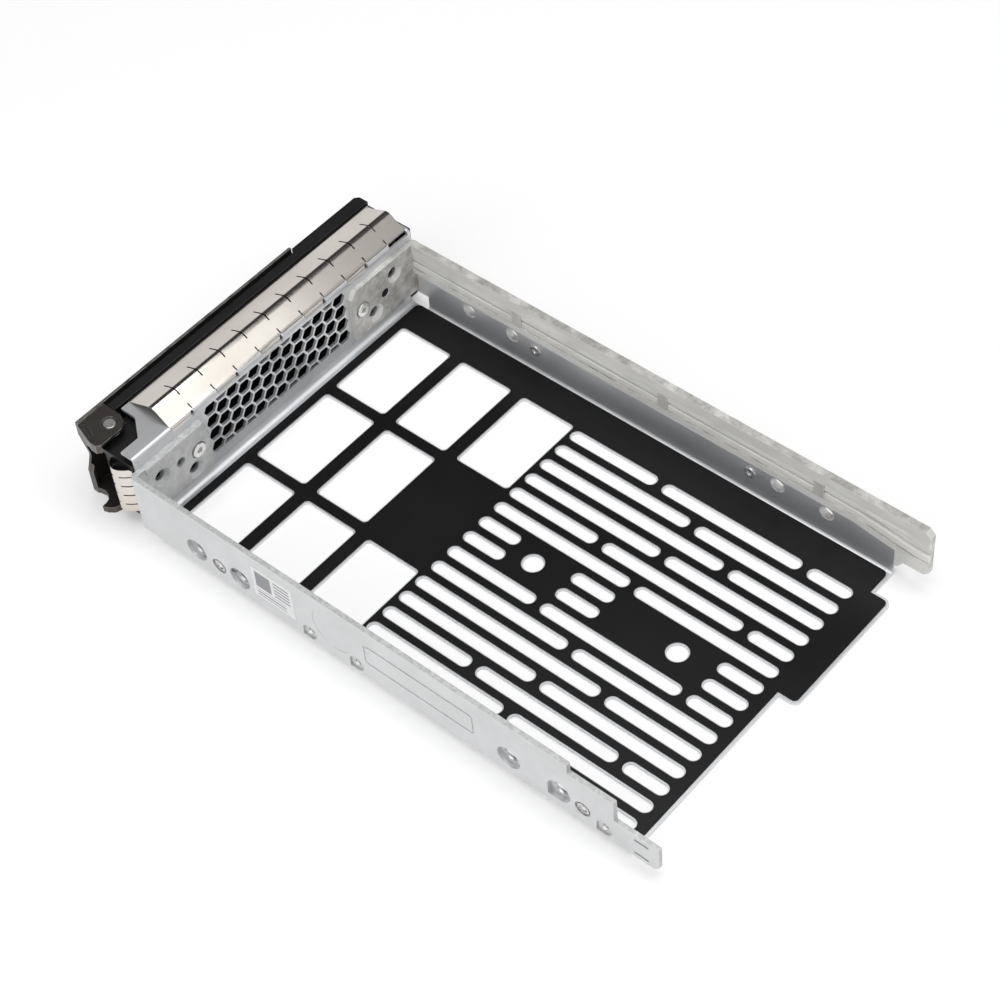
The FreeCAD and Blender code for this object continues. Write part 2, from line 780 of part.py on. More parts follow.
# ---------------------------------------------------------------- rails
def ear_cutters(holes, pilot, star):
    """Countersinks, pilot hole and fastener seat of an ear."""
    y0, y1 = wall_y - through, ear_back_y + through
    sink_y = ear_back_y - ear_sink_depth
    tools = []
    for x, z in holes:
        tools.append(cylinder(ear_hole_d / 2, (x, y0, z), (x, y1, z)))
        tools.append(cone(ear_hole_d / 2, ear_sink_d / 2, (x, sink_y, z), (x, ear_back_y, z)))
    x, z = pilot
    tools.append(cylinder(pilot_d / 2, (x, y0, z), (x, y1, z)))
    x, z = star
    tools.append(cylinder(star_shank_d / 2, (x, y0, z), (x, y1, z)))
    tools.append(cylinder(star_recess_d / 2, (x, ear_back_y - star_recess_depth, z), (x, y1, z)))
    return tools


def ear_plate(x_inner, x_outer):
    """Plate of an ear, chamfered at its upper inner corner."""
    lean = math.copysign(ear_lean, x_outer - x_inner)
    points = [(x_inner, ear_bottom_z), (x_outer, ear_bottom_z), (x_outer, ear_top_z)]
    points += [(x_inner + lean, ear_top_z), (x_inner, ear_top_z - ear_lean_drop)]
    return outline_xz(points, wall_y, ear_back_y)


def pocket(y, z):
    """Round pocket with one square lower corner, sunk in the right rail."""
    floor_x, out_x, radius = right_face - lug_pocket_depth, right_face + through, lug_pocket_r
    round_part = cylinder(radius, (floor_x, y, z), (out_x, y, z))
    return round_part.fuse(box(floor_x, out_x, y - radius, y, z - radius, z))


def frame_groove():
    """Shallow rounded rectangle sunk in the right rail, left blank inside."""

    def plate(inset):
        y0, y1 = frame_y_min + inset, frame_y_min + frame_length - inset
        z0, z1 = frame_z_min + inset, frame_z_min + frame_height - inset
        block = box(right_face - frame_depth, right_face + through, y0, y1, z0, z1)
        return block.makeFillet(frame_corner_r - inset, edges_along(block, Vector(1, 0, 0)))

    return plate(0).cut(plate(frame_line))


def rivet_cutters(side, face, places):
    """Shank holes and head recesses of a rail's rivets."""
    near, far = side * (flange_out - through), face + side * through
    tools = []
    for y, z in places:
        tools.append(cylinder(rivet_shank_d / 2, (near, y, z), (far, y, z)))
        seat = face - side * rivet_recess_depth
        tools.append(cylinder(rivet_recess_d / 2, (seat, y, z), (far, y, z)))
    return tools


def make_rail_right():
    """Cast right rail: stepped wall, ear and screw openings."""
    face, inner = right_face, flange_out
    ledge_x, ledge_z = right_face - rail_upper_wall, flange_height + rail_seam
    points = [(wall_y, rail_bottom_z), (rail_rear_y - rail_rear_chamfer, rail_bottom_z)]
    points += [(rail_rear_y, rail_bottom_z + rail_rear_chamfer), (rail_rear_y, step_two_z)]
    points += [(step_two_y, step_two_z), (step_two_y, step_one_z), (step_one_y, step_one_z)]
    points += [(step_one_y, rail_top_z), (wall_y, rail_top_z)]
    wall = outline_yz(points, inner, face)
    lip = box(ledge_x, inner + overlap, wall_y, step_one_y, ledge_z, rail_top_z)
    lower_lip = box(ledge_x, inner + overlap, step_one_y, step_two_y, ledge_z, step_one_z)
    ear = ear_plate(ear_right_x, face)
    x0, x1 = ear_right_x + rib_inset, bay_half - rib_end_gap
    rib = box(x0, x1, ear_back_y - overlap, ear_back_y + rib_depth, ear_top_z - rib_height, ear_top_z)
    body = fuse(wall, lip, lower_lip, ear, rib)
    body = round_corners(body, [(face, wall_y)], ear_corner_r)
    tools = ear_cutters(side_places(1, ear_right_holes), *side_places(1, [pilot_right, star_right]))
    near, far, corner = inner - through, face + through, rail_hole_d / 2
    for y in drive_hole_ys:
        tools.append(cylinder(corner, (near, y, drive_hole_z), (far, y, drive_hole_z)))
    last = drive_hole_last_y
    tools.append(box(near, far, last - corner, last, drive_hole_z - corner, drive_hole_z))
    tools += rivet_cutters(1, face, right_rivets)
    tools += [pocket(y, z) for y, z in lug_places]
    slot_end = rail_rear_y - rear_slot_rear_gap
    for z in rear_slot_zs:
        z0, z1 = z - rear_slot_height / 2, z + rear_slot_height / 2
        tools.append(box(near, far, slot_end - rear_slot_length, slot_end, z0, z1))
    tools.append(cylinder(mark_r, (face - mark_depth, mark_y, mark_z), (far, mark_y, mark_z)))
    tools.append(frame_groove())
    return cut(body, tools)


def make_rail_left():
    """Cast left rail: thick top, channel for two light pipes, ledge and ear."""
    face, inner = left_face, -flange_out
    shelf = face + left_rail_upper_wall
    rear, chamfer = left_rail_rear_y, left_rail_chamfer
    slope_start = tray_rear_y + tongue_start
    slope_end = slope_start + tongue_slope
    under = [(slope_start, rail_bottom_z), (slope_end, left_tongue_z), (rear - chamfer, left_tongue_z)]
    under += [(rear, left_tongue_z + chamfer)]
    outline = [(wall_y, rail_bottom_z)] + under
    outline += [(rear, rail_top_z - chamfer), (rear - chamfer, rail_top_z), (wall_y, rail_top_z)]
    skin = outline_yz(outline, face, pipe_back_x)
    end_z = flange_height - flange_rear_drop + tongue_seam
    low = [(flange_front_y, rail_bottom_z)] + under + [(rear, end_z), (pipe_drop_end_y, end_z)]
    low += [(flange_slope_y, flange_height), (flange_front_y, flange_height)]
    backing = outline_yz(low, face, inner)
    slant = flange_rear_drop / (tray_rear_y + through - flange_slope_y)
    ledge_z = flange_height + rail_seam
    tail_z = ledge_z - slant * (pipe_drop_end_y - flange_slope_y)
    ledge = [(wall_y, ledge_z), (flange_slope_y, ledge_z), (pipe_drop_end_y, tail_z), (rear, tail_z)]
    ledge += [(rear, pipe_low_end_z), (pipe_drop_end_y, pipe_low_end_z)]
    ledge += [(flange_slope_y, pipe_lower_z), (wall_y, pipe_lower_z)]
    cap_z = pipe_upper_z + pipe_height
    cap = [(wall_y, cap_z), (rear, cap_z), (rear, rail_top_z - chamfer)]
    cap += [(rear - chamfer, rail_top_z), (wall_y, rail_top_z)]
    shelves = [outline_yz(points, face, shelf) for points in (ledge, cap)]
    body = fuse(skin, backing, *shelves, ear_plate(ear_left_x, face))
    body = round_corners(body, [(face, wall_y)], ear_corner_r)
    tools = ear_cutters(side_places(-1, ear_left_holes), *side_places(-1, [pilot_left, star_left]))
    tools += pipe_ports(wall_y - through, ear_back_y + through, 0.0)
    for y in drive_hole_ys:
        start, end = (face - through, y, drive_hole_z), (inner + through, y, drive_hole_z)
        tools.append(cylinder(left_rail_hole_d / 2, start, end))
    tools += rivet_cutters(-1, face, left_rivets)
    return cut(body, tools)


def make_clip(y):
    """Clip that holds both light pipes in the left rail's channel."""
    y0, y1 = y - clip_length / 2, y + clip_length / 2
    return box(pipe_face_x, pipe_face_x + clip_t, y0, y1, pipe_lower_z, pipe_upper_z + pipe_height)


def make_rivet(side, y, z):
    """Flat rivet that holds a rail to the tray's flange."""
    face = right_face if side > 0 else left_face
    seat = face - side * rivet_recess_depth
    head = cylinder(rivet_head_d / 2, (seat, y, z), (seat + side * rivet_head_t, y, z))
    shank = cylinder(rivet_shank_d / 2, (seat, y, z), (side * bay_half, y, z))
    return fuse(head, shank)


def make_lug_stud(y, z):
    """Small domed stud in a pocket of the right rail."""
    seat = right_face - lug_pocket_depth
    dome = Part.makeSphere(lug_stud_r, Vector(seat, y, z))
    reach = lug_stud_r + through
    return dome.common(box(seat, seat + reach, y - reach, y + reach, z - reach, z + reach))


def make_ear_screw(x, z):
    """Flat star-socket screw that holds an ear to the front wall."""
    seat = ear_back_y - star_recess_depth
    head = cylinder(star_head_d / 2, (x, seat, z), (x, seat + star_head_t, z))
    shank = cylinder(star_shank_d / 2, (x, wall_front_y, z), (x, seat, z))
    points = []
    for k in range(12):
        radius = star_points_r[k % 2]
        angle = math.radians(30 * k)
        points.append((x + radius * math.cos(angle), z + radius * math.sin(angle)))
    socket = outline_xz(points, seat + star_floor, seat + star_head_t + through)
    return fuse(head, shank).cut(socket)


def make_label():
    """Blank label on the right rail."""
    y1, z1 = label_y_min + label_length, label_z_min + label_height
    return box(right_face, right_face + label_t, label_y_min, y1, label_z_min, z1)


# ---------------------------------------------------------------- light pipes
def make_upper_pipe():
    """Straight light pipe under the rail's thick top."""
    z1 = pipe_upper_z + pipe_height
    return box(pipe_back_x, pipe_face_x, pipe_front_y, left_rail_rear_y, pipe_upper_z, z1)


def make_lower_pipe():
    """Light pipe on the ledge, which falls behind the flange."""
    low = [(pipe_front_y, pipe_lower_z), (flange_slope_y, pipe_lower_z)]
    low += [(pipe_drop_end_y, pipe_low_end_z), (left_rail_rear_y, pipe_low_end_z)]
    high = [(y, z + pipe_height) for y, z in reversed(low)]
    return outline_yz(low + high, pipe_back_x, pipe_face_x)


# ---------------------------------------------------------------- contact strips
def strip_profile():
    """Side outline of the top strip's outer surface, from front to rear."""
    front = hood_front_y
    rise, fall = math.radians(strip_front_angle), math.radians(strip_rear_angle)
    rear = wall_y - strip_rear_inset
    start_y, end_y = front + strip_foot, rear - strip_rear_foot
    end_z = strip_seat_z + strip_rear_foot_rise
    run = (end_z - strip_seat_z + (end_y - start_y) * math.tan(fall)) / (math.tan(rise) + math.tan(fall))
    corner_y, corner_z = start_y + run, strip_seat_z + run * math.tan(rise)
    reach = strip_crest_r * math.tan((rise + fall) / 2)
    centre_y = corner_y - reach * math.cos(rise) + strip_crest_r * math.sin(rise)
    centre_z = corner_z - reach * math.sin(rise) - strip_crest_r * math.cos(rise)
    points = [(front - strip_t, strip_seat_z), (start_y, strip_seat_z)]
    steps = 8
    for k in range(steps + 1):
        lean = -rise + (rise + fall) * k / steps
        y, z = centre_y + strip_crest_r * math.sin(lean), centre_z + strip_crest_r * math.cos(lean)
        points.append((y, z))
    points += [(end_y, end_z), (rear, strip_seat_z)]
    return points


def make_top_strip():
    """Spring finger strip over the top flange, hooked at both edges."""
    outer = strip_profile()
    outline = outer + inset_curve(outer, strip_t)[::-1]
    body = outline_yz(outline, strip_x_min + strip_end_trim, strip_x_max)
    crest_z = max(z for y, z in outer)
    front, hook_y = hood_front_y, wall_y - strip_rear_inset - strip_hook_inset
    parts = []
    for segment in range(strip_segments):
        start = strip_x_min + segment * segment_length
        x0 = max(start + strip_lip_side, strip_x_min + strip_end_trim)
        x1 = start + segment_length - strip_lip_side
        z0 = wall_top_z - strip_lip_drops[segment % 2]
        parts.append(box(x0, x1, front - strip_t, front, z0, wall_top_z + overlap))
    for segment in range(2, strip_segments, 2):
        x0 = strip_x_min + segment * segment_length + strip_hook_side
        x1 = x0 + segment_length - 2 * strip_hook_side
        z0 = wall_top_z - strip_hook_drop
        parts.append(box(x0, x1, hook_y, hook_y + strip_t, z0, strip_seat_z))
    body = fuse(body, *parts)
    slits = []
    for segment in range(1, strip_segments):
        x = strip_x_min + segment * segment_length
        x0, x1 = x - strip_slit / 2, x + strip_slit / 2
        for y0, y1 in (crest_slit_run, rear_slit_run):
            slits.append(box(x0, x1, front + y0, front + y1, wall_top_z - slot_drop, crest_z + through))
    return cut(body, slits)


def make_side_strip():
    """Spring finger strip on the right side of the bezel."""
    root = side_strip_root_x
    outer = [(root + dx, wall_y - dy) for dx, dy in side_strip_profile]
    inner = inset_curve(outer, strip_t)
    inner[0] = (root, outer[0][1])
    inner[-1] = (root, outer[-1][1] + strip_t)
    body = outline_xy(outer + inner[::-1], side_strip_bottom_z, side_strip_top_z)
    middle_z = (side_strip_bottom_z + side_strip_top_z) / 2
    parts = []
    for finger in (-2, 0, 1):
        z = middle_z + finger * side_finger_pitch
        z0 = max(z - side_hook_height / 2, side_strip_bottom_z)
        z1 = z + side_hook_height / 2
        parts.append(box(root, root + side_hook_t, outer[0][1], wall_y, z0, z1))
    body = fuse(body, *parts)
    slits = []
    for finger in range(1, side_fingers):
        z = middle_z + (finger - side_fingers / 2) * side_finger_pitch
        z0, z1 = z - strip_slit / 2, z + strip_slit / 2
        for near, far, offset in side_slit_runs:
            slits.append(box(root + offset, root + 4 * through, wall_y - far, wall_y - near, z0, z1))
    return cut(body, slits)


# ---------------------------------------------------------------- bezel
def bezel_front():
    """Bars, panel and latch block of the bezel."""
    x0, x1, y0 = bezel_x_min, bezel_x_max, bezel_front_y
    z0, z1 = bezel_bottom_z, bezel_top_z
    bar_back = y0 + bezel_bar_depth - bezel_play
    top_bar = box(x0, x1, y0, bar_back, hood_under_z - top_bar_height, z1)
    bottom_bar = box(x0, x1, y0, wall_front_y, z0, z0 + bottom_bar_height)
    panel = box(x0, x1, y0, panel_back_y, z0, z1)
    left_wall = box(x0, x0 + left_wall_t, y0, wall_front_y, z0, hood_under_z)
    left_rib = box(x0, x0 + left_rib_t, y0, bar_back, z0, hood_under_z)
    block = box(x0, bezel_block_x, block_front_y, y0 + block_bite, z0, z1)
    return [top_bar, bottom_bar, panel, left_wall, left_rib, block]


def bezel_pivot_bay():
    """Shelf, walls and boss round the lever's pivot."""
    x0, x1 = bezel_x_max - inner_wall_gap, side_strip_root_x
    back, top, low = wall_front_y, shelf_top_z, pivot_floor_z
    shelf = box(x0, x1, pivot_y + shelf_reach, back, top - shelf_t, top)
    inner_wall = box(x0 - inner_wall_t, x0, bezel_front_y, back, bezel_bottom_z, top)
    side_wall = box(x1 - side_wall_t, x1, wall_y - side_wall_reach, back, low, top)
    floor_plate = box(x0, x1, pivot_y + floor_reach, back, low, low + pivot_floor_t)
    boss = cylinder(boss_r, (pivot_x, pivot_y, low), (pivot_x, pivot_y, top))
    web = box(x0, pivot_x, pivot_y - web_half, pivot_y + web_half, low, top)
    neck = box(pivot_x - web_half, pivot_x + web_half, pivot_y, pivot_y + neck_reach, low, top)
    return [shelf, inner_wall, side_wall, floor_plate, boss, web, neck]


def bezel_button_seat():
    """Wall behind the button, its rib, and the peg through the front wall."""
    (peg_x, peg_z), = side_places(-1, [pilot_left])
    z0, back = bezel_bottom_z, wall_front_y
    rib = box(peg_x - web_half, peg_x + web_half, button_seat_y, back, z0, peg_z + peg_rib_rise)
    seat = box(button_x_min, button_x_max, button_seat_y, button_seat_y + button_seat_t, z0, button_z_max)
    peg = cylinder(pilot_d / 2, (peg_x, back, peg_z), (peg_x, ear_back_y - pilot_play, peg_z))
    return [rib, seat, peg]


def make_bezel():
    """Black moulded front: bars, vent, latch block and pivot block."""
    body = fuse(*bezel_front(), *bezel_pivot_bay(), *bezel_button_seat())
    tools = [cylinder(pin_d / 2, (pivot_x, pivot_y, 0), (pivot_x, pivot_y, shelf_top_z + through))]
    x0, y0, size = bezel_x_min, block_front_y, corner_cut
    corner = [(x0 - overlap, y0 - overlap), (x0 + size, y0 - overlap), (x0 - overlap, y0 + size)]
    tools.append(outline_xy(corner, bezel_bottom_z - through, bezel_top_z + through))
    front, back = block_front_y - through, panel_back_y + overlap
    vents = int((bezel_x_max - vent_end_gap - bezel_block_x) / vent_pitch)
    for k in range(vents):
        x = bezel_block_x + vent_first + k * vent_pitch
        tools.append(box(x, x + vent_width, front, back, vent_z_min, vent_z_max))
    x0, x1 = button_x_min - button_gap, button_x_max + button_gap
    z0, z1 = button_z_min - button_gap, button_z_max + button_gap
    tools.append(box(x0, x1, front, panel_back_y + overlap, z0, z1))
    return cut(body, tools)


# ---------------------------------------------------------------- lever
def about_pivot(points):
    """Plan points given from the pivot axis."""
    return [(pivot_x + x, pivot_y + y) for x, y in points]


def ear_outline(end):
    """Plan outline of an ear of the lever, closed at the front plate."""
    joint_y = lever_back_y - plate_bite
    start = [(pivot_x + ear_start[0][0], joint_y)] + about_pivot(ear_start)
    return start + about_pivot(end) + [(lever_x_max, joint_y)]


def make_lever():
    """Swing lever: slotted front plate, two ears, end wall and claw."""
    front, back = lever_front_y, lever_back_y
    top, plate_z = ear_plate_top_z, ear_plate_z
    root_x = pivot_x + ear_start[0][0]
    fold_x, fold_back = lever_x_max - lever_plate_t, front + lever_return
    plate = box(lever_x_min, lever_x_max, front, back, lever_z_min, lever_z_max)
    upper = outline_xy(ear_outline(ear_end), plate_z, top)
    lower = outline_xy(ear_outline(claw_end), 0, claw_t)
    foot = box(root_x, lever_x_max, front, back, 0, lever_z_min + overlap)
    joint_y = back - plate_bite
    end_points = about_pivot(ear_end[2:]) + [(lever_x_max, joint_y), (lever_x_max - end_wall_t, joint_y)]
    end_points += about_pivot(end_wall_outline)
    end_wall = outline_xy(end_points, shelf_top_z + end_wall_play, plate_z + overlap)
    fold = box(fold_x, lever_x_max, front, fold_back, 0, plate_z + overlap)
    body = fuse(plate, upper, lower, foot, end_wall, fold)
    over, under = top + through, -through
    bore = pin_d / 2 + pin_clearance
    tools = [cylinder(bore, (pivot_x, pivot_y, under), (pivot_x, pivot_y, over))]
    seat_z = top - ear_seat_depth
    tools.append(cylinder(ear_seat_r, (pivot_x, pivot_y, seat_z), (pivot_x, pivot_y, over)))
    count = int((lever_x_max - lever_slot_end_gap - lever_x_min) / lever_slot_pitch)
    for k in range(count):
        x = lever_x_min + lever_slot_first + k * lever_slot_pitch
        x1, y0, y1 = x + lever_slot_width, front - through, back + overlap
        tools.append(box(x, x1, y0, y1, lever_slot_z_min, lever_slot_z_max))
    dip = [(lever_x_max - gap, z) for gap, z in end_dip]
    tools.append(outline_xz(dip, front - through, fold_back + through))
    tools.append(outline_xy(about_pivot(ear_slot_outline), top - ear_slot_depth, over))
    return cut(body, tools)


def make_pin():
    """Pivot pin through both ears and the boss."""
    end_z = ear_plate_top_z - pin_end_drop
    return cylinder(pin_d / 2, (pivot_x, pivot_y, 0), (pivot_x, pivot_y, end_z))


def coil(coil_r, wire_r, pitch, turns):
    """Round wire wound up the Z axis, lofted through plain sections."""
    rise = pitch / (2 * math.pi * coil_r)
    sections = []
    for k in range(turns * coil_steps + 1):
        turn = 2 * math.pi * k / coil_steps
        out = Vector(math.cos(turn), math.sin(turn), 0)
        up = Vector(-math.sin(turn), math.cos(turn), rise).normalize().cross(out)
        centre = out * coil_r + Vector(0, 0, pitch * k / coil_steps)
        ring = []
        for j in range(wire_sides):
            angle = 2 * math.pi * j / wire_sides
            ring.append(centre + out * (wire_r * math.cos(angle)) + up * (wire_r * math.sin(angle)))
        sections.append(Part.makePolygon(ring + ring[:1]))
    return Part.makeLoft(sections, True, True)


def make_lever_spring():
    """Spring round the pin, between the boss and the upper ear."""
    spring = coil(lever_spring_r, lever_wire_r, lever_spring_pitch, lever_spring_turns)
    spring.translate(Vector(pivot_x, pivot_y, shelf_top_z + lever_wire_r + spring_seat_play))
    return spring


# ---------------------------------------------------------------- release button
def make_button():
    """Push button of the latch block, with a rim and a stem behind it."""
    x0, x1, z0, z1 = button_x_min, button_x_max, button_z_min, button_z_max
    rim = button_rim
    face = box(x0, x1, block_front_y, panel_back_y + overlap, z0, z1)
    face = face.makeFillet(button_corner_r, edges_along(face, Vector(0, 1, 0)))
    plate = box(x0 - rim, x1 + rim, panel_back_y, panel_back_y + rim, z0 - rim, z1 + rim)
    x, z = (x0 + x1) / 2, (z0 + z1) / 2
    stem_end = button_seat_y - button_travel - button_gap
    stem = cylinder(button_stem_r, (x, panel_back_y + rim - overlap, z), (x, stem_end, z))
    return fuse(face, plate, stem)


def make_button_spring():
    """Coil spring between the button's rim and its seat in the bezel."""
    start = panel_back_y + button_rim
    length = button_seat_y - start - 2 * button_wire_r - 2 * spring_seat_play
    spring = coil(button_spring_r, button_wire_r, length / button_spring_turns, button_spring_turns)
    x, z = (button_x_min + button_x_max) / 2, (button_z_min + button_z_max) / 2
    spring.rotate(Vector(0, 0, 0), Vector(1, 0, 0), -90)
    spring.translate(Vector(x, start + button_wire_r + spring_seat_play, z))
    return spring


# ---------------------------------------------------------------- write the nodes
screw_places = side_places(1, [star_right]) + side_places(-1, [star_left])
save("tray", make_tray())
save("insulator_film", make_film())
save("rail_right", make_rail_right())
save("rail_left", make_rail_left())
save("light_pipe_upper", make_upper_pipe())
save("light_pipe_lower", make_lower_pipe())
save("top_contact_strip", make_top_strip())
save("side_contact_strip", make_side_strip())
save("bezel", make_bezel())
save("lever", make_lever())
save("pivot_pin", make_pin())
save("lever_spring", make_lever_spring())
save("release_button", make_button())
save("blank_label", make_label())
save("button_spring", make_button_spring())
save("ear_screws", Part.makeCompound([make_ear_screw(*place) for place in screw_places]))
save("rivets_right", Part.makeCompound([make_rivet(1, *place) for place in right_rivets]))
save("rivets_left", Part.makeCompound([make_rivet(-1, *place) for place in left_rivets]))
save("lug_studs", Part.makeCompound([make_lug_stud(*place) for place in lug_places]))
for number, clip_y in enumerate(clip_ys, 1):
    save("pipe_clip_%d" % number, make_clip(clip_y))
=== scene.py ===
"""Dresses the hot swap drive caddy: finishes, eased edges, contact fingers and a plain studio round them."""
from __future__ import annotations

import json
import logging
import math
from dataclasses import dataclass
from enum import Enum

import bpy
from mathutils import Matrix, Vector

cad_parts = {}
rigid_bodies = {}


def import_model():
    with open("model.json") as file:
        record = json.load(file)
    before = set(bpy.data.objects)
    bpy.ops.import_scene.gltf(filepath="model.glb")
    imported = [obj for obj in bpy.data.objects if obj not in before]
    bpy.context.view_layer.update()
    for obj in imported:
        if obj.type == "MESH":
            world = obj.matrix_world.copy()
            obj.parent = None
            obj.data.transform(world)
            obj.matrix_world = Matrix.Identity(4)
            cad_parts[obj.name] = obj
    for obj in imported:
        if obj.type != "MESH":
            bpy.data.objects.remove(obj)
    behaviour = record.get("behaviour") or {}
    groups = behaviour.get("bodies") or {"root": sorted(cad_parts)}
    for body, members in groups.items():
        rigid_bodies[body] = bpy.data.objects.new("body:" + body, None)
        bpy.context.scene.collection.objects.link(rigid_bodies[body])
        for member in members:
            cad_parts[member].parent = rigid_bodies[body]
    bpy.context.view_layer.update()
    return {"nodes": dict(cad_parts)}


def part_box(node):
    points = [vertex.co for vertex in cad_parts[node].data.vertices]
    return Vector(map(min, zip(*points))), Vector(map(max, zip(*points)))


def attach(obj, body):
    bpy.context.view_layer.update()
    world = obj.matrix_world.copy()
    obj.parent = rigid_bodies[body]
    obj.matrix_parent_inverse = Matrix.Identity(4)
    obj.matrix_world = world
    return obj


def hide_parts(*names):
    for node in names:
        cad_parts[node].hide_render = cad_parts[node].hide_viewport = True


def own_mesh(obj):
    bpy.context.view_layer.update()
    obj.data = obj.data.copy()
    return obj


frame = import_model()
MM = 0.001                    # metres in a millimetre
UP = (0.0, 0.0, 1.0)
REARWARD = (0.0, 1.0, 0.0)
EDGE_WEAR_AND_HIGHLIGHT = "edge_wear_and_highlight_share"       # corner attribute that says how far an edge takes the lighter edge tone, part wear and part painted highlight
MERGE = 0.000002              # points nearer than this, in metres, are one
FLAT_ANGLE = 0.6              # facets that meet at less than this, in degrees, are one flat face
BEVEL_ANGLE = 32.0            # edges sharper than this, in degrees, are eased
SMOOTH_ANGLE = 35.0           # faces of an eased piece that meet at less, in degrees, shade as one
SQUARE_ON = 0.9               # part of a normal along an axis that counts as facing along it
UPWARD = 0.6                  # and of one that counts as facing up

# numbers of a Mix node's sockets, because its kinds share their names
MIX_SHARE = 0
MIX_NUMBERS = (2, 3)
MIX_COLOURS = (6, 7)
MIX_NUMBER_OUT = 0
MIX_COLOUR_OUT = 2

Colour = tuple[float, float, float]
Span = tuple[float, float, float, float]
Socket = bpy.types.NodeSocket

log = logging.getLogger("caddy")


def srgb(red: int, green: int, blue: int) -> Colour:
    """Linear colour of an 8-bit display colour.

    Args:
        red: red, 0 to 255.
        green: green, 0 to 255.
        blue: blue, 0 to 255.

    Returns:
        The three linear values.
    """
    values = []
    for part in (red, green, blue):
        share = part / 255.0
        values.append(share / 12.92 if share <= 0.04045 else ((share + 0.055) / 1.055) ** 2.4)
    return (values[0], values[1], values[2])


class Lay(Enum):
    """Direction that the fine lines of a finish run in."""

    NONE = (1.0, 1.0, 1.0)
    ALONG_X = (0.02, 1.0, 1.0)


# ------------------------------------------------------------------ shader nodes
class Graph:
    """Node tree of a group, a material or the world while it is being built."""

    def __init__(self, tree: bpy.types.NodeTree) -> None:
        """Keeps the tree."""
        self.tree = tree

    def node(self, kind: str, **settings: object) -> bpy.types.Node:
        """Adds a node.

        Args:
            kind: its type, without the ShaderNode that each one begins with.
            settings: its options, such as its operation.

        Returns:
            The new node.
        """
        node = self.tree.nodes.new("ShaderNode" + kind)
        for label, value in settings.items():
            setattr(node, label, value)
        return node

    def feed(self, node: bpy.types.Node, inputs: dict[str | int, object]) -> None:
        """Links or sets the inputs of a node.

        Args:
            node: the node.
            inputs: name or number of each input, with the socket or value that feeds it.
        """
        for label, source in inputs.items():
            if isinstance(source, Socket):
                self.tree.links.new(source, node.inputs[label])
            else:
                node.inputs[label].default_value = source

    def group(self, effect: bpy.types.NodeTree, inputs: dict[str | int, object]) -> bpy.types.Node:
        """Places a shared effect.

        Args:
            effect: the node group.
            inputs: what feeds it, as for feed.

        Returns:
            The group's node.
        """
        node = self.node("Group")
        node.node_tree = effect
        self.feed(node, inputs)
        return node

    def sum(self, operation: str, *terms: Socket | float) -> Socket:
        """Value of one sum.

        Args:
            operation: operation of the Math node.
            terms: its sockets or numbers in order.

        Returns:
            The socket with the value.
        """
        node = self.node("Math", operation=operation)
        self.feed(node, dict(enumerate(terms)))
        return node.outputs[0]

    def drawn_out(self, vector: Socket, stretch: Socket) -> Socket:
        """Coordinates scaled along the axes.

        Args:
            vector: the coordinates.
            stretch: scale along each axis.

        Returns:
            The socket with the new coordinates.
        """
        node = self.node("VectorMath", operation="MULTIPLY")
        self.feed(node, {0: vector, 1: stretch})
        return node.outputs[0]

    def noise(self, vector: Socket, scale: Socket | float, detail: float, roughness: float = 0.5) -> Socket:
        """Soft noise.

        Args:
            vector: the coordinates.
            scale: fineness, per metre.
            detail: how many finer layers it has.
            roughness: share of the finer layers.

        Returns:
            The socket with its value.
        """
        node = self.node("TexNoise")
        self.feed(node, {"Vector": vector, "Scale": scale, "Detail": detail, "Roughness": roughness})
        return node.outputs["Fac"]

    def spread(
        self, value: Socket, low: float, high: float,
        to_low: Socket | float = 0.0, to_high: Socket | float = 1.0, soft: bool = False,
    ) -> Socket:
        """Value spread from one range to another.

        Args:
            value: the value.
            low: lower end of its range.
            high: upper end of its range.
            to_low: what the lower end becomes.
            to_high: what the upper end becomes.
            soft: whether both ends are eased.

        Returns:
            The socket with the new value.
        """
        node = self.node("MapRange", interpolation_type="SMOOTHSTEP" if soft else "LINEAR")
        self.feed(node, {
            "Value": value, "From Min": low, "From Max": high, "To Min": to_low, "To Max": to_high,
        })
        return node.outputs["Result"]

    def blend(self, share: Socket, first: Socket, second: Socket | tuple) -> Socket:
        """Mix of two colours.

        Args:
            share: share of the second colour.
            first: the first colour.
            second: the second colour.

        Returns:
            The socket with the colour.
        """
        node = self.node("Mix", data_type="RGBA")
        self.feed(node, {MIX_SHARE: share, MIX_COLOURS[0]: first, MIX_COLOURS[1]: second})
        return node.outputs[MIX_COLOUR_OUT]


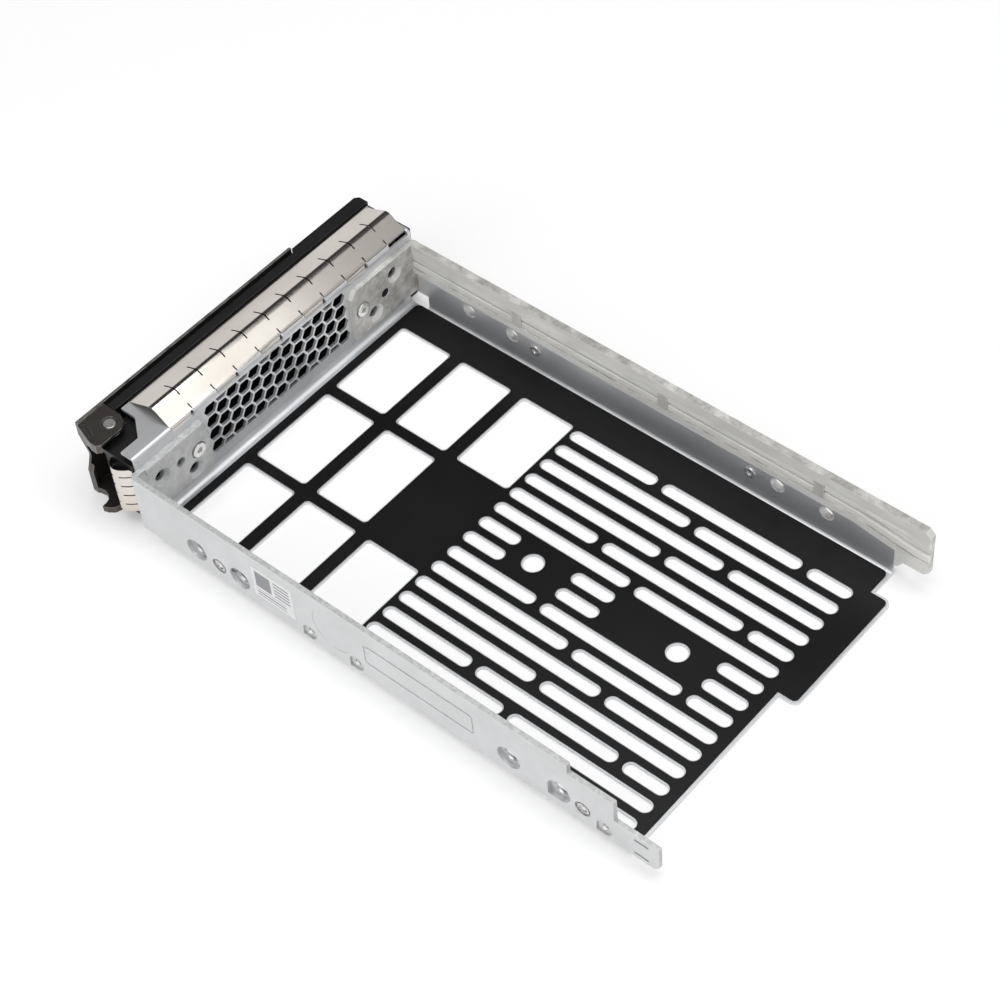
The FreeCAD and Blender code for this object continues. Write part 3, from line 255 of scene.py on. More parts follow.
# ------------------------------------------------------------------ shared effects
class Effects:
    """Shader node groups that several finishes share, each built once."""

    def __init__(self) -> None:
        """Builds the groups."""
        self.patches = self._patches()
        self.grain = self._grain()
        self.lines = self._lines()
        self.painted_facing_shade = self._painted_facing_shade()
        self.edge_wear_and_highlight = self._edge_wear_and_highlight()

    @staticmethod
    def _start(
        name: str, inputs: dict[str, tuple[str, object]], outputs: dict[str, str]
    ) -> tuple[Graph, bpy.types.NodeOutputs, bpy.types.Node]:
        """Empty group with its sockets.

        Args:
            name: name of the group.
            inputs: socket name to its kind and default value.
            outputs: socket name to its kind.

        Returns:
            The group's graph, the sockets that come into it and the node that they leave by.
        """
        tree = bpy.data.node_groups.new(name, "ShaderNodeTree")
        for label, (kind, value) in inputs.items():
            socket = tree.interface.new_socket(name=label, in_out="INPUT", socket_type=kind)
            if value is not None:
                socket.default_value = value
        for label, kind in outputs.items():
            tree.interface.new_socket(name=label, in_out="OUTPUT", socket_type=kind)
        enter = tree.nodes.new("NodeGroupInput")
        leave = tree.nodes.new("NodeGroupOutput")
        return Graph(tree), enter.outputs, leave

    def _patches(self) -> bpy.types.NodeTree:
        """Soft patches between two colours, with a matching value for roughness.

        Returns:
            The group.
        """
        graph, enter, leave = self._start(
            "soft_patches",
            {
                "Vector": ("NodeSocketVector", None),
                "Stretch": ("NodeSocketVector", (1.0, 1.0, 1.0)),
                "Main": ("NodeSocketColor", (0.5, 0.5, 0.5, 1.0)),
                "Stain": ("NodeSocketColor", (0.3, 0.3, 0.3, 1.0)),
                "Scale": ("NodeSocketFloat", 60.0),
                "Cover": ("NodeSocketFloat", 0.4),
                "Low": ("NodeSocketFloat", 0.3),
                "High": ("NodeSocketFloat", 0.5),
            },
            {"Color": "NodeSocketColor", "Rough": "NodeSocketFloat"},
        )
        vector = graph.drawn_out(enter["Vector"], enter["Stretch"])
        broad = graph.noise(vector, enter["Scale"], detail=5.0, roughness=0.62)
        share = graph.sum("MULTIPLY", graph.spread(broad, low=0.38, high=0.72), enter["Cover"])
        rough = graph.spread(broad, low=0.3, high=0.7, to_low=enter["Low"], to_high=enter["High"])
        graph.feed(leave, {"Color": graph.blend(share, enter["Main"], enter["Stain"]), "Rough": rough})
        return graph.tree

    def _grain(self) -> bpy.types.NodeTree:
        """Fine cast or moulded grain as a height.

        Returns:
            The group.
        """
        graph, enter, leave = self._start(
            "fine_grain",
            {
                "Vector": ("NodeSocketVector", None),
                "Scale": ("NodeSocketFloat", 1500.0),
                "Waves": ("NodeSocketFloat", 0.3),
            },
            {"Height": "NodeSocketFloat"},
        )
        fine = graph.noise(enter["Vector"], enter["Scale"], detail=3.0)
        slow = graph.noise(enter["Vector"], scale=120.0, detail=1.0)
        graph.feed(leave, {"Height": graph.sum("MULTIPLY_ADD", slow, enter["Waves"], fine)})
        return graph.tree

    def _lines(self) -> bpy.types.NodeTree:
        """Long fine lines of rolled or brushed sheet, as a shade.

        Returns:
            The group.
        """
        graph, enter, leave = self._start(
            "rolled_lines",
            {
                "Vector": ("NodeSocketVector", None),
                "Stretch": ("NodeSocketVector", (1.0, 1.0, 1.0)),
                "Color": ("NodeSocketColor", (0.6, 0.6, 0.6, 1.0)),
                "Amount": ("NodeSocketFloat", 0.1),
            },
            {"Color": "NodeSocketColor"},
        )
        vector = graph.drawn_out(enter["Vector"], enter["Stretch"])
        lines = graph.noise(vector, scale=900.0, detail=2.0)
        centred = graph.sum("SUBTRACT", lines, 0.5)
        strength = graph.sum("MULTIPLY_ADD", centred, enter["Amount"], 1.0)
        tint = graph.node("VectorMath", operation="SCALE")
        graph.feed(tint, {0: enter["Color"], "Scale": strength})
        graph.feed(leave, {"Color": tint.outputs[0]})
        return graph.tree

    def _painted_facing_shade(self) -> bpy.types.NodeTree:
        """Painted shade: a darker, speckled tone on the faces that look one way.

        Returns:
            The group.
        """
        graph, enter, leave = self._start(
            "painted_facing_shade_group",
            {
                "Vector": ("NodeSocketVector", None),
                "Normal": ("NodeSocketVector", None),
                "Toward": ("NodeSocketVector", (0.0, 0.0, 1.0)),
                "Color": ("NodeSocketColor", (0.6, 0.6, 0.6, 1.0)),
                "Shade": ("NodeSocketColor", (0.3, 0.3, 0.3, 1.0)),
                "Amount": ("NodeSocketFloat", 0.5),
                "Scale": ("NodeSocketFloat", 500.0),
            },
            {"Color": "NodeSocketColor"},
        )
        facing = graph.node("VectorMath", operation="DOT_PRODUCT")
        graph.feed(facing, {0: enter["Normal"], 1: enter["Toward"]})
        mask = graph.spread(facing.outputs["Value"], low=0.80, high=0.96, soft=True)
        speckle = graph.noise(enter["Vector"], enter["Scale"], detail=6.0, roughness=0.7)
        broken = graph.spread(speckle, low=0.36, high=0.62, to_high=enter["Amount"])
        share = graph.sum("MULTIPLY", mask, broken)
        graph.feed(leave, {"Color": graph.blend(share, enter["Color"], enter["Shade"])})
        return graph.tree

    def _edge_wear_and_highlight(self) -> bpy.types.NodeTree:
        """Lighter tone and gloss on the eased edges, broken up along them: partly worn bare metal, partly a
        painted highlight.

        Returns:
            The group.
        """
        graph, enter, leave = self._start(
            "edge_wear_and_painted_highlight",
            {
                "Vector": ("NodeSocketVector", None),
                "Edge": ("NodeSocketFloat", 0.0),
                "Color": ("NodeSocketColor", (0.6, 0.6, 0.6, 1.0)),
                "Rough": ("NodeSocketFloat", 0.5),
                "Wear And Highlight Tone": ("NodeSocketColor", (0.8, 0.8, 0.8, 1.0)),
                "Wear And Highlight Rough": ("NodeSocketFloat", 0.3),
            },
            {"Color": "NodeSocketColor", "Rough": "NodeSocketFloat"},
        )
        patchy = graph.noise(enter["Vector"], scale=350.0, detail=4.0)
        share = graph.sum("MULTIPLY", graph.spread(patchy, low=0.30, high=0.50), enter["Edge"])
        gloss = graph.node("Mix")
        roughs = {MIX_NUMBERS[0]: enter["Rough"], MIX_NUMBERS[1]: enter["Wear And Highlight Rough"]}
        graph.feed(gloss, {MIX_SHARE: share, **roughs})
        colour = graph.blend(share, enter["Color"], enter["Wear And Highlight Tone"])
        graph.feed(leave, {"Color": colour, "Rough": gloss.outputs[MIX_NUMBER_OUT]})
        return graph.tree


@dataclass(frozen=True)
class FacingShade:
    """Painted shade: a darker, speckled tone on the faces that look one way, standing in for how light falls
    on them.

    Attributes:
        toward: direction that the faces look in.
        shade: colour there, linear.
        amount: strongest share of that colour.
        scale: fineness of the speckle, per metre.
    """

    toward: tuple[float, float, float]
    shade: Colour
    amount: float
    scale: float


@dataclass(frozen=True)
class Finish:
    """Finish of one kind of piece.

    Attributes:
        name: name of the material.
        main: main colour, linear.
        stain: colour of the soft patches.
        metallic: 1 for bare metal.
        rough: lowest and highest roughness.
        patch_scale: size of the patches, per metre.
        cover: how far the patches show.
        grain_scale: fineness of the grain, per metre.
        grain_depth: height of the grain in metres.
        waves: share of slow unevenness under the grain.
        lay: direction of the fine lines.
        line_amount: strength of the fine lines.
        coat: clear coat weight.
        transmission: share of light let through.
        specular: strength of the mirror part where the surface isn't metal.
        stretch: how the patches are drawn out along the axes; under 1 is longer.
        edge_wear_and_highlight_tone: lighter colour of the eased edges, partly worn metal and partly a
            painted highlight, or None where the edges keep the main colour.
        edge_wear_and_highlight_rough: roughness of those edges.
        facing_shades: painted shade, darker speckled tones on the faces that look one way.
    """

    name: str
    main: Colour
    stain: Colour
    metallic: float = 0.0
    rough: tuple[float, float] = (0.4, 0.5)
    patch_scale: float = 60.0
    cover: float = 0.4
    grain_scale: float = 1500.0
    grain_depth: float = 0.00001
    waves: float = 0.3
    lay: Lay = Lay.NONE
    line_amount: float = 0.0
    coat: float = 0.0
    transmission: float = 0.0
    specular: float = 0.5
    stretch: tuple[float, float, float] = (1.0, 1.0, 1.0)
    edge_wear_and_highlight_tone: Colour | None = None
    edge_wear_and_highlight_rough: float = 0.3
    facing_shades: tuple[FacingShade, ...] = ()

    def build(self, effects: Effects) -> bpy.types.Material:
        """Makes the material.

        Args:
            effects: the shared node groups.

        Returns:
            The new material.
        """
        material = bpy.data.materials.new(self.name)
        material.use_nodes = True
        graph = Graph(material.node_tree)
        place = graph.node("TexCoord")
        spot = place.outputs["Object"]
        patches = graph.group(effects.patches, {
            "Vector": spot, "Stretch": self.stretch, "Main": (*self.main, 1.0), "Stain": (*self.stain, 1.0),
            "Scale": self.patch_scale, "Cover": self.cover, "Low": self.rough[0], "High": self.rough[1],
        })
        colour, rough = patches.outputs["Color"], patches.outputs["Rough"]
        if self.lay is not Lay.NONE:
            lines = {"Vector": spot, "Stretch": self.lay.value, "Color": colour, "Amount": self.line_amount}
            colour = graph.group(effects.lines, lines).outputs["Color"]
        # painted shade on the faces that look one way
        for tone in self.facing_shades:
            colour = graph.group(effects.painted_facing_shade, {
                "Vector": spot, "Normal": place.outputs["Normal"], "Toward": tone.toward, "Color": colour,
                "Shade": (*tone.shade, 1.0), "Amount": tone.amount, "Scale": tone.scale,
            }).outputs["Color"]
        # lighter tone on the eased edges: partly worn metal, partly a painted highlight
        if self.edge_wear_and_highlight_tone is not None:
            edge = graph.node("Attribute", attribute_name=EDGE_WEAR_AND_HIGHLIGHT)
            edge_tones = graph.group(effects.edge_wear_and_highlight, {
                "Vector": spot, "Edge": edge.outputs["Fac"], "Color": colour, "Rough": rough,
                "Wear And Highlight Tone": (*self.edge_wear_and_highlight_tone, 1.0), "Wear And Highlight Rough": self.edge_wear_and_highlight_rough,
            })
            colour, rough = edge_tones.outputs["Color"], edge_tones.outputs["Rough"]
        grain = graph.group(effects.grain, {"Vector": spot, "Scale": self.grain_scale, "Waves": self.waves})
        bump = graph.node("Bump")
        graph.feed(bump, {"Height": grain.outputs["Height"], "Strength": 1.0, "Distance": self.grain_depth})
        graph.feed(graph.tree.nodes["Principled BSDF"], {
            "Base Color": colour, "Roughness": rough, "Metallic": self.metallic, "Coat Weight": self.coat,
            "Transmission Weight": self.transmission, "Specular IOR Level": self.specular,
            "Normal": bump.outputs["Normal"],
        })
        return material


@dataclass(frozen=True)
class PrintedPaper(Finish):
    """Paper with plain printed fields: a grey square and rows of bars, no words.

    Attributes:
        node: CAD piece that the print lies on.
        square: span of the grey square, along and up, as shares of the label.
        beside: span of the bars beside the square.
        under: span of the bars under it.
        rows: bars in the height of the label.
        gap: share of a row that stays bare.
        square_ink: ink of the square.
        bar_ink: ink of the bars.
    """

    node: str = "blank_label"
    square: Span = (0.08, 0.46, 0.38, 0.90)
    beside: Span = (0.54, 0.92, 0.38, 0.90)
    under: Span = (0.08, 0.80, 0.08, 0.30)
    rows: float = 9.0
    gap: float = 0.55
    square_ink: Colour = srgb(150, 150, 155)
    bar_ink: Colour = srgb(150, 150, 156)

    def shares(self, graph: Graph) -> tuple[Socket, Socket]:
        """Place on the label, as shares of its length and height.

        Args:
            graph: the material's graph.

        Returns:
            The sockets with the share along and the share up.
        """
        low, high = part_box(self.node)
        spans = [max(high[axis] - low[axis], MERGE) for axis in range(3)]
        place, fit, split = graph.node("TexCoord"), graph.node("Mapping"), graph.node("SeparateXYZ")
        graph.feed(fit, {
            "Vector": place.outputs["Object"],
            "Scale": (0.0, 1.0 / spans[1], 1.0 / spans[2]),
            "Location": (0.0, -low[1] / spans[1], -low[2] / spans[2]),
        })
        graph.feed(split, {0: fit.outputs[0]})
        return split.outputs["Y"], split.outputs["Z"]

    def field(self, graph: Graph, along: Socket, up: Socket, span: Span) -> Socket:
        """Mask of one printed field.

        Args:
            graph: the material's graph.
            along: share along the label.
            up: share up the label.
            span: ends of the field along and up.

        Returns:
            The socket with the mask.
        """
        masks = []
        for share, low, high in ((along, span[0], span[1]), (up, span[2], span[3])):
            past = graph.sum("GREATER_THAN", share, low)
            short = graph.sum("LESS_THAN", share, high)
            masks.append(graph.sum("MULTIPLY", past, short))
        return graph.sum("MULTIPLY", *masks)

    def build(self, effects: Effects) -> bpy.types.Material:
        """Makes the material.

        Args:
            effects: the shared node groups.

        Returns:
            The new material.
        """
        material = super().build(effects)
        graph = Graph(material.node_tree)
        shader = graph.tree.nodes["Principled BSDF"]
        along, up = self.shares(graph)
        square, beside, under = (
            self.field(graph, along, up, span) for span in (self.square, self.beside, self.under)
        )
        row = graph.sum("FRACT", graph.sum("MULTIPLY", up, self.rows))
        stripes = graph.sum("GREATER_THAN", row, self.gap)
        bars = graph.sum("MULTIPLY", graph.sum("ADD", beside, under), stripes)
        colour = shader.inputs["Base Color"].links[0].from_socket
        for mask, ink in ((square, self.square_ink), (bars, self.bar_ink)):
            colour = graph.blend(mask, colour, (*ink, 1.0))
        graph.feed(shader, {"Base Color": colour})
        return material


# each finish's bare colour is a lighter tone on its eased edges, partly wear and partly a painted highlight
ZINC_SHEET = Finish(
    "zinc_sheet", srgb(223, 224, 226), srgb(202, 205, 209), metallic=0.75, rough=(0.34, 0.44),
    patch_scale=45.0, cover=0.45, grain_scale=900.0, grain_depth=0.000004, lay=Lay.ALONG_X, line_amount=0.08,
    edge_wear_and_highlight_tone=srgb(240, 241, 243), edge_wear_and_highlight_rough=0.25,
)
BLACK_FILM = Finish(
    "black_film", srgb(9, 9, 11), srgb(15, 15, 17), rough=(0.30, 0.38), patch_scale=25.0, cover=0.5,
    grain_scale=2200.0, grain_depth=0.000003, waves=1.5, specular=0.3,
)
CAST_RIGHT = Finish(
    "cast_rail", srgb(220, 221, 222), srgb(200, 201, 201), metallic=0.3, rough=(0.38, 0.50),
    patch_scale=90.0, cover=0.45, grain_scale=1800.0, grain_depth=0.00002, waves=0.8,
    edge_wear_and_highlight_tone=srgb(236, 236, 235), edge_wear_and_highlight_rough=0.3,
    # painted shade: darker speckled tones on the upward faces and on the rear-facing faces
    facing_shades=(
        FacingShade(UP, srgb(132, 132, 130), 0.45, 700.0),
        FacingShade(REARWARD, srgb(126, 120, 110), 0.30, 480.0),
    ),
)
CAST_LEFT = Finish(
    "cast_rail_worn", srgb(236, 235, 232), srgb(196, 193, 187), metallic=0.2, rough=(0.34, 0.52),
    patch_scale=160.0, cover=0.5, stretch=(1.0, 0.2, 1.0), grain_scale=1400.0, grain_depth=0.00003, waves=1.2,
    edge_wear_and_highlight_tone=srgb(238, 237, 233), edge_wear_and_highlight_rough=0.3,
    # painted shade: darker speckled tones on the upward faces and on the rear-facing faces
    facing_shades=(
        FacingShade(UP, srgb(104, 102, 96), 0.6, 170.0),
        FacingShade(REARWARD, srgb(112, 108, 99), 0.5, 380.0),
    ),
)
CLIP_METAL = Finish(
    "cast_clip", srgb(212, 210, 206), srgb(176, 173, 167), metallic=0.3, rough=(0.4, 0.5),
    grain_depth=0.00002, edge_wear_and_highlight_tone=srgb(240, 239, 236),
)
LIGHT_PIPE = Finish(
    "light_pipe", srgb(246, 245, 240), srgb(228, 227, 220), rough=(0.10, 0.20), patch_scale=120.0, cover=0.5,
    stretch=(1.0, 0.15, 1.0), grain_scale=500.0, grain_depth=0.00002, coat=0.5, transmission=0.08,
    # near-white edge tone of the light pipes: a painted highlight along their edges
    edge_wear_and_highlight_tone=srgb(255, 255, 253), edge_wear_and_highlight_rough=0.08,
)
SPRING_STEEL = Finish(
    "spring_steel", srgb(222, 217, 210), srgb(204, 197, 188), metallic=1.0, rough=(0.12, 0.18),
    patch_scale=40.0, cover=0.5, grain_depth=0.000002, lay=Lay.ALONG_X, line_amount=0.05,
    edge_wear_and_highlight_tone=srgb(240, 236, 230), edge_wear_and_highlight_rough=0.2,
)
BLACK_PLASTIC = Finish(
    "black_plastic", srgb(14, 14, 15), srgb(20, 20, 21), rough=(0.40, 0.50), grain_scale=2600.0,
    grain_depth=0.000012, specular=0.4, edge_wear_and_highlight_tone=srgb(58, 57, 56), edge_wear_and_highlight_rough=0.35,
)
BUTTON_PLASTIC = Finish(
    "button_plastic", srgb(96, 97, 100), srgb(84, 85, 88), rough=(0.42, 0.52), grain_scale=2600.0,
    grain_depth=0.000015, edge_wear_and_highlight_tone=srgb(122, 123, 126), edge_wear_and_highlight_rough=0.4,
)
PLATED_STEEL = Finish(
    "plated_steel", srgb(226, 226, 224), srgb(196, 196, 192), metallic=0.85, rough=(0.22, 0.34),
    patch_scale=300.0, grain_depth=0.000006, edge_wear_and_highlight_tone=srgb(240, 240, 238), edge_wear_and_highlight_rough=0.2,
)
SPRING_WIRE = Finish(
    "spring_wire", srgb(196, 196, 196), srgb(150, 150, 150), metallic=1.0, rough=(0.2, 0.3),
    grain_depth=0.000003,
)
DARK_STEEL = Finish(
    "dark_steel", srgb(96, 92, 89), srgb(78, 75, 72), metallic=0.85, rough=(0.30, 0.40),
    patch_scale=120.0, cover=0.6, grain_scale=1600.0, grain_depth=0.00001,
    edge_wear_and_highlight_tone=srgb(176, 174, 170), edge_wear_and_highlight_rough=0.28,
)
PAPER_LABEL = PrintedPaper(
    "paper_label", srgb(240, 240, 241), srgb(232, 232, 233), rough=(0.45, 0.55), grain_scale=1200.0,
    grain_depth=0.000004,
)


# ------------------------------------------------------------------ modelling helpers
def select_only(*pieces: bpy.types.Object) -> None:
    """Selects these objects and nothing else, the first one active.

    Args:
        pieces: the objects.
    """
    bpy.ops.object.select_all(action="DESELECT")
    for piece in pieces:
        piece.select_set(True)
    bpy.context.view_layer.objects.active = pieces[0]


def dress(piece: bpy.types.Object, material: bpy.types.Material) -> None:
    """Gives a piece one material all over.

    Args:
        piece: the piece.
        material: its material.
    """
    piece.data.materials.clear()
    piece.data.materials.append(material)


def shade_even(piece: bpy.types.Object, angle: float) -> None:
    """Shades the active piece smooth over its bends and flat over its flats.

    Args:
        piece: the piece, selected and active.
        angle: faces that meet at less than this many degrees are one smooth surface.
    """
    bpy.ops.object.shade_smooth_by_angle(angle=math.radians(angle))
    even = piece.modifiers.new("even_shading", "WEIGHTED_NORMAL")
    even.mode = "FACE_AREA"
    even.weight = 100
    even.keep_sharp = True
    bpy.ops.object.modifier_apply(modifier=even.name)


@dataclass(frozen=True)
class Shop:
    """Makes the pieces: keeps the finishes and the steps that every piece goes through.

    Attributes:
        materials: material of each finish, by its name.
    """

    materials: dict[str, bpy.types.Material]

    def carry(self, node: str, finish: Finish) -> None:
        """Dresses a CAD piece that stays as it is.

        Args:
            node: the CAD piece.
            finish: its finish.
        """
        dress(frame["nodes"][node], self.materials[finish.name])
        log.info("kept %s in %s", node, finish.name)

    def copied(self, node: str, name: str) -> bpy.types.Object:
        """Free, merged copy of a CAD piece, with its flat faces whole.

        Args:
            node: the CAD piece.
            name: name of the copy.

        Returns:
            The copy, selected and active.
        """
        select_only(frame["nodes"][node])
        bpy.ops.object.duplicate()
        piece = bpy.context.active_object
        piece.name = name
        piece.data.name = name
        bpy.ops.object.parent_clear(type="CLEAR_KEEP_TRANSFORM")
        for key in list(piece.keys()):
            del piece[key]
        bpy.ops.mesh.customdata_custom_splitnormals_clear()
        bpy.ops.object.mode_set(mode="EDIT")
        bpy.ops.mesh.select_all(action="SELECT")
        bpy.ops.mesh.remove_doubles(threshold=MERGE)
        bpy.ops.mesh.dissolve_limited(angle_limit=math.radians(FLAT_ANGLE))
        bpy.ops.object.mode_set(mode="OBJECT")
        return piece

    def hand_over(self, piece: bpy.types.Object, node: str, finish: Finish, body: str) -> None:
        """Gives a copy its finish, its body and the CAD piece that it stands for.

        Args:
            piece: the copy.
            node: the CAD piece.
            finish: its finish.
            body: body that it rides on.
        """
        dress(piece, self.materials[finish.name])
        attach(piece, body)
        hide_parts(node)
        log.info("%s stands for %s, %d faces", piece.name, node, len(piece.data.polygons))

    def smoothed(self, node: str, name: str, finish: Finish, angle: float) -> bpy.types.Object:
        """Copy of a rounded CAD piece that is shaded smooth, which stands for that piece.

        Args:
            node: the CAD piece.
            name: name of the copy.
            finish: its finish.
            angle: faces that meet at less than this many degrees are one smooth surface.

        Returns:
            The copy.
        """
        piece = self.copied(node, name)
        shade_even(piece, angle)
        self.hand_over(piece, node, finish, "caddy")
        return piece

    def eased(
        self, node: str, name: str, finish: Finish, width: float, body: str = "caddy"
    ) -> bpy.types.Object:
        """Copy of a CAD piece with its sharp edges eased, which stands for that piece.

        Args:
            node: the CAD piece.
            name: name of the copy.
            finish: its finish.
            width: width of the eased edges in metres.
            body: body that the piece rides on.

        Returns:
            The copy.
        """
        piece = self.copied(node, name)
        self.ease(piece, finish, width)
        self.hand_over(piece, node, finish, body)
        return piece

    def ease(self, piece: bpy.types.Object, finish: Finish, width: float) -> None:
        """Eases the sharp edges of the active piece and marks them for the lighter edge tone, partly wear and
        partly a painted highlight.

        Args:
            piece: the piece, selected and active.
            finish: its finish.
            width: width of the eased edges in metres.
        """
        piece.data.materials.clear()
        for _ in ("flats", "edges"):
            piece.data.materials.append(self.materials[finish.name])
        bevel = piece.modifiers.new("eased_edges", "BEVEL")
        bevel.width = width
        bevel.segments = 2
        bevel.limit_method = "ANGLE"
        bevel.angle_limit = math.radians(BEVEL_ANGLE)
        bevel.use_clamp_overlap = True
        bevel.harden_normals = False
        bevel.material = 1
        bpy.ops.object.modifier_apply(modifier=bevel.name)
        # the bevel faces take the lighter edge tone: partly wear, partly painted highlight
        mark = piece.data.attributes.new(EDGE_WEAR_AND_HIGHLIGHT, "FLOAT_COLOR", "CORNER")
        for face in piece.data.polygons:
            value = float(face.material_index)
            for corner in face.loop_indices:
                mark.data[corner].color = (value, value, value, 1.0)
            face.material_index = 0
        shade_even(piece, SMOOTH_ANGLE)

    def mark_faces(self, piece: bpy.types.Object, low: Vector, high: Vector, value: float) -> None:
        """Marks the upward faces inside a box as bare cut edges, which take the lighter edge tone as wear and
        as a painted highlight.

        Args:
            piece: the piece.
            low: lowest corner of the box.
            high: highest corner of the box.
            value: share of the lighter edge tone on them.
        """
        mark = piece.data.attributes[EDGE_WEAR_AND_HIGHLIGHT]
        for face in piece.data.polygons:
            inside = all(low[axis] <= face.center[axis] <= high[axis] for axis in range(3))
            if inside and face.normal.z > UPWARD:
                for corner in face.loop_indices:
                    mark.data[corner].color = (value, value, value, 1.0)


# ------------------------------------------------------------------ the caddy
@dataclass
class SheetTray:
    """Folded tray with the film on its floor.

    Attributes:
        edge: width of the eased edges of the sheet.
    """

    edge: float = 0.10 * MM

    def build(self, shop: Shop) -> None:
        """Dresses the tray and the film.

        Args:
            shop: makes the pieces.
        """
        shop.eased("tray", "tray_sheet", ZINC_SHEET, self.edge)
        shop.carry("insulator_film", BLACK_FILM)


@dataclass
class SideRails:
    """Cast rails with their fasteners, light pipes and label.

    Attributes:
        edge: width of the eased edges of the castings.
        screw_edge: width of the eased edges of the screws.
        dish_rim: width of the rim of a dished rivet head.
        dish_depth: depth of the dish.
        dish_ring: width of the hollow round its centre.
        dish_centre: height of the centre as a share of that depth.
        pipe_edge: width of the eased edges of the light pipes, whose near-white edge tone is a painted
            highlight.
        flare_radius: outer radius of a rivet's flared end.
        flare_sides: sides of its circle.
        flare_height: how far it stands off the flange.
        flare_round: width of its rounded rim as a share of that height.
        bore_radius: radius of the hollow in it.
        bore_depth: depth of the hollow as a share of the flare's height.
        bore_floor: width of the step in its floor as a share of its radius.
        head_radius: radius of a rivet's head.
        dome_curve: bends of the studs under this many degrees are one smooth surface.
    """

    edge: float = 0.16 * MM
    screw_edge: float = 0.08 * MM
    dish_rim: float = 0.55 * MM
    dish_depth: float = 0.30 * MM
    dish_ring: float = 0.50 * MM
    dish_centre: float = 0.6
    pipe_edge: float = 0.26 * MM
    flare_radius: float = 1.75 * MM
    flare_sides: int = 28
    flare_height: float = 0.35 * MM
    flare_round: float = 0.45
    bore_radius: float = 0.80 * MM
    bore_depth: float = 1.6
    bore_floor: float = 0.45
    head_radius: float = 1.80 * MM
    dome_curve: float = 40.0

    def flares(self, shop: Shop, node: str, name: str, side: float) -> None:
        """Flared, hollow ends of the rivets on the inner face of a flange.

        Args:
            shop: makes the pieces.
            node: CAD piece with the two rivets.
            name: name of the new piece.
            side: 1 on the right, -1 on the left.
        """
        low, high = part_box(node)
        face = low[0] if side > 0 else high[0]
        height = (low[2] + high[2]) / 2
        ends = []
        for along in (low[1] + self.head_radius, high[1] - self.head_radius):
            bpy.ops.object.select_all(action="DESELECT")
            bpy.ops.mesh.primitive_cylinder_add(
                vertices=self.flare_sides, radius=self.flare_radius, depth=self.flare_height * 2,
                location=(face, along, height), rotation=(0.0, -side * math.pi / 2, 0.0),
            )
            end = bpy.context.active_object
            bpy.ops.object.transform_apply(location=True, rotation=True, scale=True)
            bpy.ops.object.mode_set(mode="EDIT")
            bpy.ops.mesh.select_all(action="DESELECT")
            bpy.ops.object.mode_set(mode="OBJECT")
            for flat in end.data.polygons:
                flat.select = flat.normal.x * side < -SQUARE_ON
            bpy.ops.object.mode_set(mode="EDIT")
            bpy.ops.mesh.select_mode(type="FACE")
            bpy.ops.mesh.inset(thickness=self.flare_radius - self.bore_radius)
            bpy.ops.mesh.extrude_region_move(
                TRANSFORM_OT_translate={"value": (side * self.flare_height * self.bore_depth, 0.0, 0.0)}
            )
            bpy.ops.mesh.inset(thickness=self.bore_radius * self.bore_floor)
            bpy.ops.mesh.select_all(action="DESELECT")
            bpy.ops.object.mode_set(mode="OBJECT")
            ends.append(end)
        select_only(*ends)
        bpy.ops.object.join()
        piece = bpy.context.active_object
        piece.name = name
        piece.data.name = name
        bevel = piece.modifiers.new("rolled_rim", "BEVEL")
        bevel.width = self.flare_height * self.flare_round
        bevel.segments = 3
        bevel.limit_method = "ANGLE"
        bevel.angle_limit = math.radians(40)
        bpy.ops.object.modifier_apply(modifier=bevel.name)
        bpy.ops.object.shade_smooth_by_angle(angle=math.radians(50))
        bpy.context.scene.cursor.location = (0.0, 0.0, 0.0)
        bpy.ops.object.origin_set(type="ORIGIN_CURSOR")
        dress(piece, shop.materials[PLATED_STEEL.name])
        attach(piece, "caddy")
        log.info("%s made, %d faces", name, len(piece.data.polygons))

    def dished(self, shop: Shop, node: str, name: str, side: float) -> None:
        """Rivets whose heads are dished round a small centre.

        Args:
            shop: makes the pieces.
            node: CAD piece with the rivets.
            name: name of the copy that stands for it.
            side: 1 on the right, -1 on the left.
        """
        piece = shop.copied(node, name)
        outer = max(face.center.x * side for face in piece.data.polygons)
        for face in piece.data.polygons:
            face.select = face.normal.x * side > SQUARE_ON and face.center.x * side > outer - MERGE
        # Known fault: the copy's points are all still selected here, and at the first call edit mode opens in
        # vertex mode, so on the right rail the steps below act on every face. The second call is sound.
        bpy.ops.object.mode_set(mode="EDIT")
        bpy.ops.mesh.select_mode(type="FACE")
        bpy.ops.mesh.inset(thickness=self.dish_rim, use_individual=True)
        down = -side * self.dish_depth
        bpy.ops.mesh.extrude_region_move(TRANSFORM_OT_translate={"value": (down, 0.0, 0.0)})
        bpy.ops.mesh.inset(thickness=self.dish_ring, use_individual=True)
        back = side * self.dish_depth * self.dish_centre
        bpy.ops.mesh.extrude_region_move(TRANSFORM_OT_translate={"value": (back, 0.0, 0.0)})
        bpy.ops.mesh.select_all(action="DESELECT")
        bpy.ops.object.mode_set(mode="OBJECT")
        shop.ease(piece, PLATED_STEEL, self.screw_edge)
        shop.hand_over(piece, node, PLATED_STEEL, "caddy")

